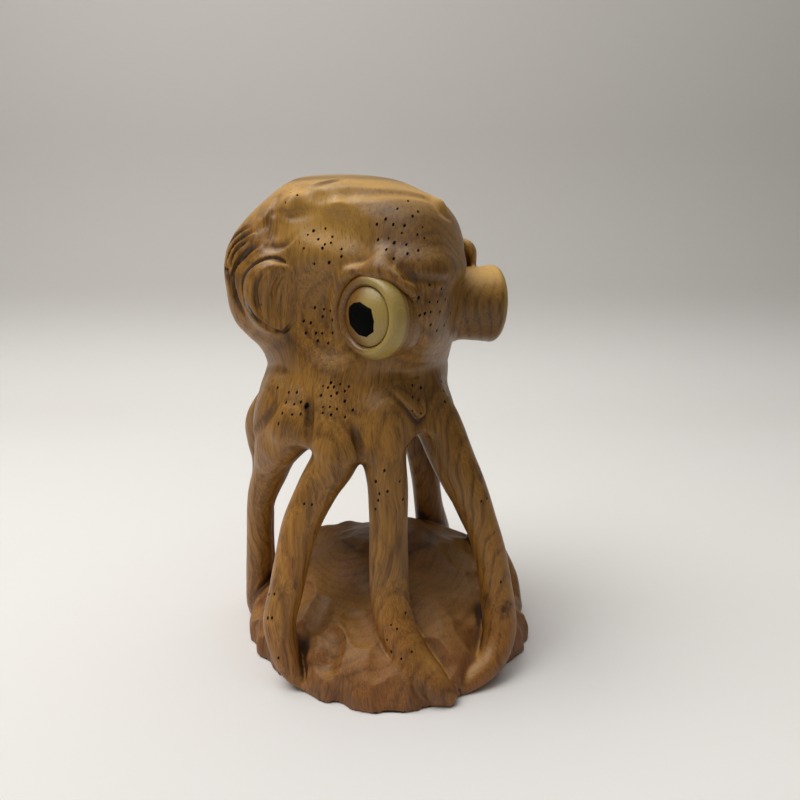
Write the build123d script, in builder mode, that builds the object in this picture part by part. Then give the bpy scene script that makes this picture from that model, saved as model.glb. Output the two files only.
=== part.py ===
"""Carved wooden octopus that stands on its arms on a rock.

The rock carries eight arms, the arms carry the web, and the web carries the mantle.
The siphon, the eyes and the coil at the mantle's rear end are plugged into the mantle.
X runs to the siphon's side, -Y is the front, Z is up, and the origin is under the rock's middle.
"""

import os
from math import asin, cos, radians, sin

from build123d import *

# Height of the arms' roots above the surface that the rock stands on, in millimetres
ROOT_HEIGHT = 92.0

# Rock
ROCK_RADIUS = 61.0
ROCK_HEIGHT = 44.0
GROOVE_CLEARANCE = 0.2
# Height share, radius share and backward shift share of each level of the rock
ROCK_LEVEL_SHARES = [
    (0.00, 0.97, 0.00),
    (0.12, 1.01, 0.00),
    (0.36, 0.92, 0.02),
    (0.62, 0.76, 0.07),
    (0.86, 0.50, 0.12),
    (1.00, 0.22, 0.12),
]
# How far the outline stands out at each corner, from the right side round by the back
ROCK_CORNER_SHARES = [
    1.03, 1.10, 1.04, 1.02, 1.05, 1.00, 1.02, 1.05, 1.06,
    1.03, 0.95, 0.95, 0.98, 1.04, 1.09, 1.00, 1.01, 1.03,
]  # fmt: skip
# How much the corners of each level are pushed in or out in turn
ROCK_FACET_SHARES = [0.00, 0.02, -0.03, 0.04, -0.05, 0.00]
# Broad hollows between the arms, at shares of the rock's radius and height
ROCK_HOLLOW_RADIUS = 25.0
ROCK_HOLLOW_DEPTH = 4.5
ROCK_HOLLOW_SHARES = [(-0.23, -0.43, 0.77), (0.39, -0.30, 0.80), (0.03, 0.64, 0.79)]

# Arms
ARM_THICKNESS = 15.0
ARM_TENON_RADIUS = 4.0
ARM_TENON_LENGTH = 9.0
TENON_INWARD_SHARE = 0.1
# Each arm from root to foot: X and Y shares of the radius there, which runs from the web's rim
# to the rock's, height share of the root's height and share of the arm's thickness
ARM_STATION_SHARES = {
    "arm_front": [
        (0.267, -0.775, 1.0, 1.16), (0.238, -0.772, 0.87, 1.04), (0.193, -0.765, 0.72, 1.00),
        (0.163, -0.758, 0.57, 1.02), (0.135, -0.762, 0.42, 1.06), (0.147, -0.803, 0.29, 1.06),
        (0.222, -0.874, 0.17, 1.00), (0.332, -0.927, 0.08, 0.84), (0.419, -0.956, 0.03, 0.56),
    ],
    "arm_front_left": [
        (-0.133, -0.775, 1.0, 1.22), (-0.235, -0.747, 0.87, 1.12), (-0.380, -0.741, 0.72, 1.00),
        (-0.503, -0.746, 0.57, 0.86), (-0.605, -0.762, 0.42, 0.80), (-0.656, -0.781, 0.29, 0.84),
        (-0.652, -0.790, 0.17, 0.84), (-0.605, -0.805, 0.08, 0.74), (-0.538, -0.826, 0.03, 0.50),
    ],
    "arm_left": [
        (-0.689, -0.310, 1.0, 1.16), (-0.758, -0.224, 0.87, 1.08), (-0.858, -0.119, 0.71, 0.94),
        (-0.916, -0.023, 0.55, 0.82), (-0.958, 0.055, 0.38, 0.76), (-0.986, 0.105, 0.22, 0.76),
        (-1.013, 0.143, 0.1, 0.66), (-1.041, 0.171, 0.03, 0.44),
    ],
    "arm_rear_left": [
        (-0.857, 0.401, 1.0, 1.14), (-0.988, 0.469, 0.9, 1.08), (-0.992, 0.495, 0.79, 0.94),
        (-1.015, 0.500, 0.65, 0.84), (-1.023, 0.478, 0.48, 0.80), (-1.020, 0.440, 0.3, 0.80),
        (-0.994, 0.400, 0.15, 0.76), (-0.978, 0.377, 0.04, 0.52),
    ],
    "arm_rear": [
        (-0.146, 0.750, 1.0, 1.18), (-0.341, 0.767, 0.85, 1.04), (-0.491, 0.775, 0.68, 0.94),
        (-0.601, 0.776, 0.5, 0.90), (-0.677, 0.797, 0.33, 0.90), (-0.705, 0.808, 0.17, 0.80),
        (-0.730, 0.829, 0.05, 0.54),
    ],
    "arm_rear_right": [
        (0.513, 0.672, 1.0, 1.18), (0.554, 0.644, 0.85, 1.02), (0.536, 0.638, 0.68, 0.92),
        (0.494, 0.643, 0.5, 0.92), (0.498, 0.684, 0.35, 0.98), (0.520, 0.773, 0.19, 0.90),
        (0.529, 0.872, 0.06, 0.60),
    ],
    "arm_right": [
        (0.758, 0.181, 1.0, 1.18), (0.814, 0.285, 0.85, 1.02), (0.844, 0.366, 0.68, 0.90),
        (0.889, 0.395, 0.5, 0.84), (0.956, 0.357, 0.33, 0.84), (1.023, 0.270, 0.17, 0.80),
        (1.042, 0.162, 0.05, 0.54),
    ],
    "arm_front_right": [
        (0.784, -0.465, 1.0, 1.16), (0.836, -0.498, 0.87, 1.06), (0.886, -0.526, 0.72, 0.94),
        (0.909, -0.540, 0.57, 0.90), (0.920, -0.541, 0.42, 0.90), (0.928, -0.567, 0.29, 0.92),
        (0.892, -0.625, 0.18, 0.88), (0.773, -0.715, 0.09, 0.78), (0.645, -0.798, 0.045, 0.62),
        (0.558, -0.845, 0.025, 0.44),
    ],
}  # fmt: skip

# Web between the arms, with the middle of the mantle and of the neck left of the rock's middle
WEB_HEIGHT = 30.0
NECK_RADIUS = 37.5
NECK_OFFSET = 12.0
HEAD_OFFSET = 15.0
WEB_RIM_RADIUS = 47.2
WEB_SPIGOT_RADIUS = 18.0
WEB_SPIGOT_LENGTH = 10.0
# Drop share below the neck and flare share from neck to rim at each level of the web
WEB_LEVEL_SHARES = [(0.00, 0.00), (0.40, 0.36), (0.75, 0.62), (1.00, 0.77)]

# Swell of the web over each arm: how near its top is to the web's axis, and the wood left above it
LOBE_TOP_SHARE = 0.72
LOBE_COVER = 0.8

# Arch in the web between the front arm and the front right one
ARCH_RADIUS = 7.0
ARCH_START_SHARE = 0.4
ARCH_TURN = 40.5

# Pointed skin flap let into the web's front right side: half width, height and places of its corners
FLAP_WIDTH = 16.0
FLAP_HEIGHT = 19.0
FLAP_PROUD = 2.5
FLAP_SEAT = 5.0
FLAP_TURN = 33.0
FLAP_DROP_SHARE = 0.28
FLAP_CORNER_ROUND = 1.5
FLAP_CORNER_SHARES = [(-0.59, 0.47), (0.42, 0.26), (0.27, -0.53)]

# Mantle
MANTLE_HEIGHT = 78.0
MANTLE_LENGTH = 99.0
MANTLE_DEPTH = 92.0
# Height, length, depth, forward lean and cheek shares of each level of the mantle above the neck
MANTLE_LEVEL_SHARES = [
    (0.15, 0.85, 0.88, 0.02, 0.60),
    (0.33, 0.96, 1.00, -0.01, 1.00),
    (0.51, 1.00, 1.00, -0.01, 0.85),
    (0.69, 0.935, 0.93, 0.00, 0.45),
    (0.83, 0.77, 0.78, 0.02, 0.20),
    (0.935, 0.53, 0.54, 0.01, 0.00),
    (1.00, 0.26, 0.26, -0.02, 0.00),
]
# Half of the mantle's plan where the cheeks are flat, from the siphon to the rear end
CHEEK_PLAN_SHARES = [
    (1.00, 0.00), (0.90, 0.62), (0.58, 1.00), (-0.10, 0.71), (-0.60, 0.59), (-0.93, 0.38),
    (-1.00, 0.00),
]  # fmt: skip

# Carved on both sides of the mantle: the forehead's valley, a hollow behind it and a wart above.
# Places are shares of the mantle's half length, half depth and height
VALLEY_RADIUS = 8.0
VALLEY_DEPTH = 2.6
VALLEY_END_SHARES = [(-0.202, 0.746, 0.792), (0.226, 0.891, 0.550)]
HOLLOW_RADIUS = 14.0
HOLLOW_DEPTH = 1.6
HOLLOW_PLACE_SHARES = (-0.525, 0.680, 0.708)
WART_RADIUS = 6.5
WART_RISE = 2.0
WART_PLACE_SHARES = (-0.354, 0.639, 0.830)
# Knob behind the siphon
KNOB_RADIUS = 6.0
KNOB_PLACE_SHARES = (0.970, 0.217, 0.538)

# Eyes: a ring in a socket of the mantle, a domed eyeball in the ring and an inlaid pupil
EYE_RING_RADIUS = 15.8
EYE_RING_LENGTH = 23.0
EYE_RING_ROUND = 4.0
EYEBALL_RADIUS = 10.8
EYEBALL_DOME = 4.5
PUPIL_RADIUS = 6.0
PUPIL_DEPTH = 2.6
EYE_BED_RADIUS = 19.0
EYE_BED_DEPTH = 2.0
EYE_TURN = 42.0
EYE_ALONG_SHARE = 0.17
EYE_OUT_SHARE = 0.945
EYE_LEVEL_SHARE = 0.315

# Siphon
SIPHON_ROOT_RADIUS = 12.6
SIPHON_MOUTH_RADIUS = 16.2
SIPHON_LENGTH = 38.0
SIPHON_ROUND = 3.5
SIPHON_CUP_RADIUS = 9.0
SIPHON_CUP_DEPTH = 5.0
SIPHON_TURN = 12.0
SIPHON_REACH = 12.5
SIPHON_LEVEL_SHARE = 0.35

# Coil at the mantle's rear end
COIL_RADIUS = 13.5
COIL_DOME = 6.0
COIL_SEAT = 8.0
COIL_TURN = 50.0
COIL_ALONG_SHARE = -0.57
COIL_OUT_SHARE = 0.63
COIL_LEVEL_SHARE = 0.40

# Fit of every plug in its socket, sideways and at the end of a tenon
PLUG_CLEARANCE = 0.1
TENON_END_CLEARANCE = 0.4

NECK_HEIGHT = ROOT_HEIGHT + WEB_HEIGHT
HEAD_CENTRE = Vector(-HEAD_OFFSET, 0, NECK_HEIGHT)
DOWN = Vector(0, 0, -1)


def rock_outline(level):
    """Corner points of one level of the rock, in plan."""
    _, radius_share, back_share = ROCK_LEVEL_SHARES[level]
    facet = ROCK_FACET_SHARES[level]
    points = []
    for corner, corner_share in enumerate(ROCK_CORNER_SHARES):
        turn = radians(360.0 * corner / len(ROCK_CORNER_SHARES))
        push = facet if corner % 2 else -facet
        radius = ROCK_RADIUS * (radius_share * corner_share + push)
        points.append((radius * cos(turn), radius * sin(turn) + ROCK_RADIUS * back_share))
    return points


def arm_point(station_shares):
    """Point of an arm, placed between the web's axis and rim above and the rock's below."""
    x_share, y_share, height_share, _ = station_shares
    radius = ROCK_RADIUS + (WEB_RIM_RADIUS - ROCK_RADIUS) * height_share
    axis_offset = NECK_OFFSET * height_share
    return Vector(x_share * radius - axis_offset, y_share * radius, height_share * ROOT_HEIGHT)


def arm_root(name):
    """Centre of an arm where it meets the web."""
    return arm_point(ARM_STATION_SHARES[name][0])


def tenon_plane(name):
    """Plane under the web where an arm's tenon starts, a little inward of the arm's middle."""
    middle = Vector(-NECK_OFFSET, 0, ROOT_HEIGHT)
    return Plane(middle + (arm_root(name) - middle) * (1 - TENON_INWARD_SHARE))


def arm_stations(name):
    """Centre, heading and thickness at each station of an arm, from inside the web to the foot."""
    rows = ARM_STATION_SHARES[name]
    centres = [arm_point(row) for row in rows]
    thicknesses = [ARM_THICKNESS * row[3] for row in rows]
    centres.insert(0, centres[0] * 2 - centres[1])
    thicknesses.insert(0, thicknesses[0])
    headings = [(centres[1] - centres[0]).normalized()]
    for before, after in zip(centres[:-2], centres[2:]):
        headings.append((after - before).normalized())
    headings.append((centres[-1] - centres[-2]).normalized())
    return list(zip(centres, headings, thicknesses))


def arm_solid(name, clearance):
    """One arm as a tapering limb, cut level under the web and at the rock's bottom."""
    root = arm_root(name)
    across = DOWN.cross(Vector(root.X + NECK_OFFSET, root.Y, 0))
    with BuildPart() as limb:
        for centre, heading, thickness in arm_stations(name):
            across = heading.cross(across).cross(heading).normalized()
            with BuildSketch(Plane(centre, x_dir=across, z_dir=heading)):
                Circle(thickness / 2 + clearance)
        loft()
        split(bisect_by=Plane.XY.offset(ROOT_HEIGHT), keep=Keep.BOTTOM)
        split(bisect_by=Plane.XY, keep=Keep.TOP)
    return limb.part


def web_radius(drop_share):
    """Radius of the web at a share of its drop from the neck to its rim."""
    levels = zip(WEB_LEVEL_SHARES[:-1], WEB_LEVEL_SHARES[1:])
    for (top, top_flare), (low, low_flare) in levels:
        if top <= drop_share <= low:
            flare = top_flare + (low_flare - top_flare) * (drop_share - top) / (low - top)
    return NECK_RADIUS + flare * (WEB_RIM_RADIUS - NECK_RADIUS)


def web_lobe(name):
    """Swell of the web over one arm, from the arm's root to a round top inside the web."""
    root = arm_root(name)
    radius = ARM_THICKNESS * ARM_STATION_SHARES[name][0][3] / 2
    axis_point = Vector(-NECK_OFFSET, 0, ROOT_HEIGHT)
    rise = WEB_HEIGHT - radius - LOBE_COVER
    top = axis_point + (root - axis_point) * LOBE_TOP_SHARE - DOWN * rise
    with BuildPart() as lobe:
        for centre in (root, top):
            with BuildSketch(Plane(centre)):
                Circle(radius)
        loft()
        with Locations(top):
            Sphere(radius)
    return lobe.part


def neck_outline(radius):
    """Points of a round outline about the web's axis, as many as the mantle's plan has."""
    corners = 2 * (len(CHEEK_PLAN_SHARES) - 1)
    turns = [radians(360.0 * corner / corners) for corner in range(corners)]
    return [(radius * cos(turn) - NECK_OFFSET, radius * sin(turn)) for turn in turns]


def mantle_outline(length_share, depth_share, lean_share, cheek_share):
    """Outline of the mantle at one level, between an oval and the plan with flat cheeks."""
    half_plan = CHEEK_PLAN_SHARES
    plan = half_plan + [(x, -y) for x, y in reversed(half_plan[1:-1])]
    middle = lean_share * MANTLE_LENGTH - HEAD_OFFSET
    points = []
    for corner, (x_share, y_share) in enumerate(plan):
        turn = radians(360.0 * corner / len(plan))
        x = cos(turn) + cheek_share * (x_share - cos(turn))
        y = sin(turn) + cheek_share * (y_share - sin(turn))
        along = x * length_share * MANTLE_LENGTH / 2
        points.append((middle + along, y * depth_share * MANTLE_DEPTH / 2))
    return points


def mantle_point(along_share, out_share, level_share):
    """Point in or on the mantle at shares of its half length, half depth and height."""
    return HEAD_CENTRE + Vector(
        along_share * MANTLE_LENGTH / 2,
        out_share * MANTLE_DEPTH / 2,
        level_share * MANTLE_HEIGHT,
    )


def carved_centre(place, radius, depth):
    """Middle of a ball or bar that goes to a depth below a place on the mantle, or stands out of it."""
    outward = (place - mantle_point(0, 0, 0.5)).normalized()
    return place + outward * (radius - depth)


def valley_plane(side):
    """Plane across the middle of the bar that cuts the forehead's valley on one side."""
    start, end = [mantle_point(along, side * out, level) for along, out, level in VALLEY_END_SHARES]
    middle = carved_centre((start + end) / 2, VALLEY_RADIUS, VALLEY_DEPTH)
    return Plane(middle, z_dir=end - start)


def plug_plane(along_share, out_share, level_share, heading):
    """Plane on the mantle whose Z axis points out of it along the heading."""
    centre = mantle_point(along_share, out_share, level_share)
    return Plane(centre, x_dir=Vector(0, 0, 1).cross(heading), z_dir=heading)


def eye_plane(side):
    """Front plane of an eye's ring: side is -1 for the front eye and 1 for the rear one."""
    heading = Vector(-sin(radians(EYE_TURN)), side * cos(radians(EYE_TURN)), 0)
    return plug_plane(EYE_ALONG_SHARE, side * EYE_OUT_SHARE, EYE_LEVEL_SHARE, heading)


def siphon_plane():
    """Plane of the siphon's mouth, facing the way the siphon points."""
    heading = Vector(cos(radians(SIPHON_TURN)), sin(radians(SIPHON_TURN)), 0)
    reach_share = 1 + 2 * SIPHON_REACH / MANTLE_LENGTH
    return plug_plane(reach_share, 0, SIPHON_LEVEL_SHARE, heading)


def coil_plane():
    """Plane where the coil's dome meets the mantle."""
    heading = Vector(-cos(radians(COIL_TURN)), -sin(radians(COIL_TURN)), 0)
    return plug_plane(COIL_ALONG_SHARE, -COIL_OUT_SHARE, COIL_LEVEL_SHARE, heading)


def web_plane(turn, out_share, drop_share):
    """Plane facing out of the web's side, turned from the front to the right about its axis."""
    heading = Vector(sin(radians(turn)), -cos(radians(turn)), 0)
    drop = drop_share * WEB_HEIGHT
    axis_point = Vector(-NECK_OFFSET, 0, NECK_HEIGHT - drop)
    centre = axis_point + heading * (out_share * web_radius(drop_share))
    return Plane(centre, x_dir=Vector(0, 0, 1).cross(heading), z_dir=heading)


def flap_solid(clearance):
    """The skin flap as a plate with rounded corners, from its seat in the web to its face."""
    seat = web_plane(FLAP_TURN, 1, FLAP_DROP_SHARE).offset(-FLAP_SEAT)
    corners = [(x * FLAP_WIDTH, y * FLAP_HEIGHT) for x, y in FLAP_CORNER_SHARES]
    with BuildPart() as plate:
        with BuildSketch(seat):
            with BuildLine():
                Polyline(*corners, close=True)
            make_face()
            fillet(vertices(), FLAP_CORNER_ROUND)
            if clearance:
                offset(amount=clearance)
        extrude(amount=FLAP_SEAT + FLAP_PROUD)
    return plate.part


def siphon_solid(clearance):
    """Flared siphon with a rounded lip, along the mouth plane's Z axis."""
    mouth = siphon_plane()
    root = SIPHON_ROOT_RADIUS + clearance
    lip = SIPHON_MOUTH_RADIUS + clearance
    with BuildPart() as tube:
        with BuildSketch(mouth.offset(-SIPHON_LENGTH - clearance)):
            Circle(root)
        with BuildSketch(mouth):
            Circle(lip)
        loft()
    return tube


def dome_arc(radius, height, out_to):
    """Three points of a dome's arc in its XZ plane, from the given radius in to the top."""
    ball = (radius**2 + height**2) / (2 * height)
    turn = asin(out_to / ball)
    drop = height - ball
    return [(ball * sin(part * turn), drop + ball * cos(part * turn)) for part in (1, 0.5, 0)]


os.makedirs("parts", exist_ok=True)

# Arms, each with a tenon that goes up into the web
arms = {}
for arm_name in ARM_STATION_SHARES:
    with BuildPart() as arm:
        add(arm_solid(arm_name, 0))
        with BuildSketch(tenon_plane(arm_name)):
            Circle(ARM_TENON_RADIUS)
        extrude(amount=ARM_TENON_LENGTH)
    arms[arm_name] = arm.part

# Rock, faceted, with a groove under each arm's foot
with BuildPart() as rock_base:
    for rock_level, (height_share, _, _) in enumerate(ROCK_LEVEL_SHARES):
        with BuildSketch(Plane.XY.offset(height_share * ROCK_HEIGHT)):
            with BuildLine():
                Polyline(*rock_outline(rock_level), close=True)
            make_face()
    loft(ruled=True)
    for across_share, back_share, height_share in ROCK_HOLLOW_SHARES:
        place = Vector(across_share * ROCK_RADIUS, back_share * ROCK_RADIUS, height_share * ROCK_HEIGHT)
        with Locations(place + place.normalized() * (ROCK_HOLLOW_RADIUS - ROCK_HOLLOW_DEPTH)):
            Sphere(ROCK_HOLLOW_RADIUS, mode=Mode.SUBTRACT)
    for arm_name in arms:
        add(arm_solid(arm_name, GROOVE_CLEARANCE), mode=Mode.SUBTRACT)

# Web: a flared collar with a mortise over each arm and a spigot for the mantle
with BuildPart() as arm_web:
    for drop_share, _ in reversed(WEB_LEVEL_SHARES):
        level_height = NECK_HEIGHT - drop_share * WEB_HEIGHT
        with BuildSketch(Plane.XY.offset(level_height)):
            with BuildLine():
                Spline(*neck_outline(web_radius(drop_share)), periodic=True)
            make_face()
    loft()
    for arm_name in arms:
        add(web_lobe(arm_name))
    with BuildSketch(Plane((-NECK_OFFSET, 0, NECK_HEIGHT))):
        Circle(WEB_SPIGOT_RADIUS)
    extrude(amount=WEB_SPIGOT_LENGTH)
    for arm_name in arms:
        with BuildSketch(tenon_plane(arm_name)):
            Circle(ARM_TENON_RADIUS + PLUG_CLEARANCE)
        extrude(amount=ARM_TENON_LENGTH + TENON_END_CLEARANCE, mode=Mode.SUBTRACT)

    with BuildSketch(web_plane(ARCH_TURN, ARCH_START_SHARE, 1)):
        Circle(ARCH_RADIUS)
    extrude(amount=WEB_RIM_RADIUS, mode=Mode.SUBTRACT)
    add(flap_solid(PLUG_CLEARANCE), mode=Mode.SUBTRACT)

# Siphon, with a cupped mouth
siphon_mouth = siphon_plane()
with BuildPart() as siphon:
    add(siphon_solid(0).part)
    lip_edge = siphon.edges().filter_by(GeomType.CIRCLE).sort_by(SortBy.RADIUS)[-1]
    fillet(lip_edge, SIPHON_ROUND)
    cup_align = (Align.CENTER, Align.CENTER, Align.MAX)
    with Locations(siphon_mouth):
        Cone(0, SIPHON_CUP_RADIUS, SIPHON_CUP_DEPTH, align=cup_align, mode=Mode.SUBTRACT)

# Mantle, with sockets for the web's spigot, the siphon, the eyes and the coil
with BuildPart() as mantle:
    with BuildSketch(Plane.XY.offset(NECK_HEIGHT)):
        with BuildLine():
            Spline(*neck_outline(NECK_RADIUS), periodic=True)
        make_face()
    for height_share, *outline_shares in MANTLE_LEVEL_SHARES:
        with BuildSketch(Plane.XY.offset(NECK_HEIGHT + height_share * MANTLE_HEIGHT)):
            with BuildLine():
                Spline(*mantle_outline(*outline_shares), periodic=True)
            make_face()
    loft()
    for carved_side in (-1, 1):
        with Locations(valley_plane(carved_side)):
            Cylinder(VALLEY_RADIUS, MANTLE_HEIGHT, mode=Mode.SUBTRACT)
        along, out, level = HOLLOW_PLACE_SHARES
        hollow_place = mantle_point(along, carved_side * out, level)
        with Locations(carved_centre(hollow_place, HOLLOW_RADIUS, HOLLOW_DEPTH)):
            Sphere(HOLLOW_RADIUS, mode=Mode.SUBTRACT)
        along, out, level = WART_PLACE_SHARES
        wart_place = mantle_point(along, carved_side * out, level)
        with Locations(carved_centre(wart_place, -WART_RADIUS, -WART_RISE)):
            Sphere(WART_RADIUS)
    with Locations(mantle_point(*KNOB_PLACE_SHARES)):
        Sphere(KNOB_RADIUS)
    with BuildSketch(Plane((-NECK_OFFSET, 0, NECK_HEIGHT))):
        Circle(WEB_SPIGOT_RADIUS + PLUG_CLEARANCE)
    extrude(amount=WEB_SPIGOT_LENGTH + TENON_END_CLEARANCE, mode=Mode.SUBTRACT)
    add(siphon_solid(PLUG_CLEARANCE).part, mode=Mode.SUBTRACT)
    for eye_side in (-1, 1):
        with BuildSketch(eye_plane(eye_side).offset(-EYE_RING_LENGTH)):
            Circle(EYE_RING_RADIUS + PLUG_CLEARANCE)
        extrude(amount=2 * EYE_RING_LENGTH, mode=Mode.SUBTRACT)
        with BuildSketch(eye_plane(eye_side).offset(-EYE_BED_DEPTH)):
            Circle(EYE_BED_RADIUS)
        extrude(amount=EYE_RING_LENGTH, mode=Mode.SUBTRACT)
    with BuildSketch(coil_plane().offset(-COIL_SEAT)):
        Circle(COIL_RADIUS + PLUG_CLEARANCE)
    extrude(amount=COIL_SEAT + 2 * COIL_DOME, mode=Mode.SUBTRACT)

# Coil boss, a dome on a short plug
with BuildPart() as mantle_coil:
    with BuildSketch(Plane.XZ):
        with BuildLine():
            Polyline((0, COIL_DOME), (0, -COIL_SEAT), (COIL_RADIUS, -COIL_SEAT), (COIL_RADIUS, 0))
            ThreePointArc(*dome_arc(COIL_RADIUS, COIL_DOME, COIL_RADIUS))
        make_face()
    revolve(axis=Axis.Z)

# Eyes
with BuildPart() as eye_ring:
    with BuildSketch():
        Circle(EYE_RING_RADIUS)
        Circle(EYEBALL_RADIUS + PLUG_CLEARANCE, mode=Mode.SUBTRACT)
    extrude(amount=-EYE_RING_LENGTH)
    front_edges = eye_ring.edges().filter_by(GeomType.CIRCLE).group_by(Axis.Z)[-1]
    fillet(front_edges.sort_by(SortBy.RADIUS)[-1], EYE_RING_ROUND)

pupil_floor = EYEBALL_DOME - PUPIL_DEPTH
with BuildPart() as pupil:
    with BuildSketch(Plane.XZ):
        with BuildLine():
            pupil_face = ThreePointArc(*dome_arc(EYEBALL_RADIUS, EYEBALL_DOME, PUPIL_RADIUS))
            Polyline(pupil_face @ 1, (0, pupil_floor), (PUPIL_RADIUS, pupil_floor), pupil_face @ 0)
        make_face()
    revolve(axis=Axis.Z)

with BuildPart() as eyeball:
    with BuildSketch(Plane.XZ):
        with BuildLine():
            ball_face = ThreePointArc(*dome_arc(EYEBALL_RADIUS, EYEBALL_DOME, EYEBALL_RADIUS))
            ball_back = -EYE_RING_LENGTH
            Polyline(ball_face @ 1, (0, ball_back), (EYEBALL_RADIUS, ball_back), ball_face @ 0)
        make_face()
    revolve(axis=Axis.Z)
    with BuildSketch(Plane.XY.offset(pupil_floor)):
        Circle(PUPIL_RADIUS + PLUG_CLEARANCE)
    extrude(amount=2 * PUPIL_DEPTH, mode=Mode.SUBTRACT)

pieces = {
    "rock_base": rock_base.part,
    "arm_web": arm_web.part,
    "web_flap": flap_solid(0),
    "mantle": mantle.part,
    "siphon": siphon.part,
    "mantle_coil": coil_plane().location * mantle_coil.part,
}
pieces.update(arms)
for eye_name, eye_side in [("front_eye", -1), ("rear_eye", 1)]:
    eye_place = eye_plane(eye_side).location
    pieces[f"{eye_name}_ring"] = eye_place * eye_ring.part
    pieces[f"{eye_name}_ball"] = eye_place * eyeball.part
    pieces[f"{eye_name}_pupil"] = eye_place * pupil.part

for piece_name, piece in pieces.items():
    piece.label = piece_name
    export_step(piece, f"parts/{piece_name}.step")
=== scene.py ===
"""Carved wooden octopus on its rock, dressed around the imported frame.

The carving is worked out as a field of distances in millimetres: forms are blended together and
cut away as a carver would, the field is meshed, and the mesh is sawn apart at the frame's joints.
"""

import functools
import math

import bpy
import numpy as np
import openvdb
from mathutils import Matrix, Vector


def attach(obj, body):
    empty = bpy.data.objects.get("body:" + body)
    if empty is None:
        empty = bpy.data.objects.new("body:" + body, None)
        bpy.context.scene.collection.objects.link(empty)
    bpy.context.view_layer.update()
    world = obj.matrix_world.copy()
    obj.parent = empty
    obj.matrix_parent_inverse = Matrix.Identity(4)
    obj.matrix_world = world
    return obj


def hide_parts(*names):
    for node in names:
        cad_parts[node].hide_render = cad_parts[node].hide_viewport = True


bl_info = {
    "name": "Carved octopus",
    "version": (1, 0, 0),
    "blender": (4, 5, 0),
    "location": "View3D > Sidebar > Octopus",
    "description": "Carved wooden octopus on a rock, around its packed frame",
    "category": "Object",
}

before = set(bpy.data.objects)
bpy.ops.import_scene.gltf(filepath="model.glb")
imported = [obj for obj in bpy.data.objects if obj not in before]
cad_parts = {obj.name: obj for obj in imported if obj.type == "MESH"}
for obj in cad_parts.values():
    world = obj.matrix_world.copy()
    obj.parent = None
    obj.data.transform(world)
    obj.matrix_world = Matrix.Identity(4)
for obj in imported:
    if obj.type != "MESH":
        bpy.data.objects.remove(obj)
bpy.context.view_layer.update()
MM = 0.001  # all sizes below are in millimetres
FAR = 30.0  # distance stored where nothing is near

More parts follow.
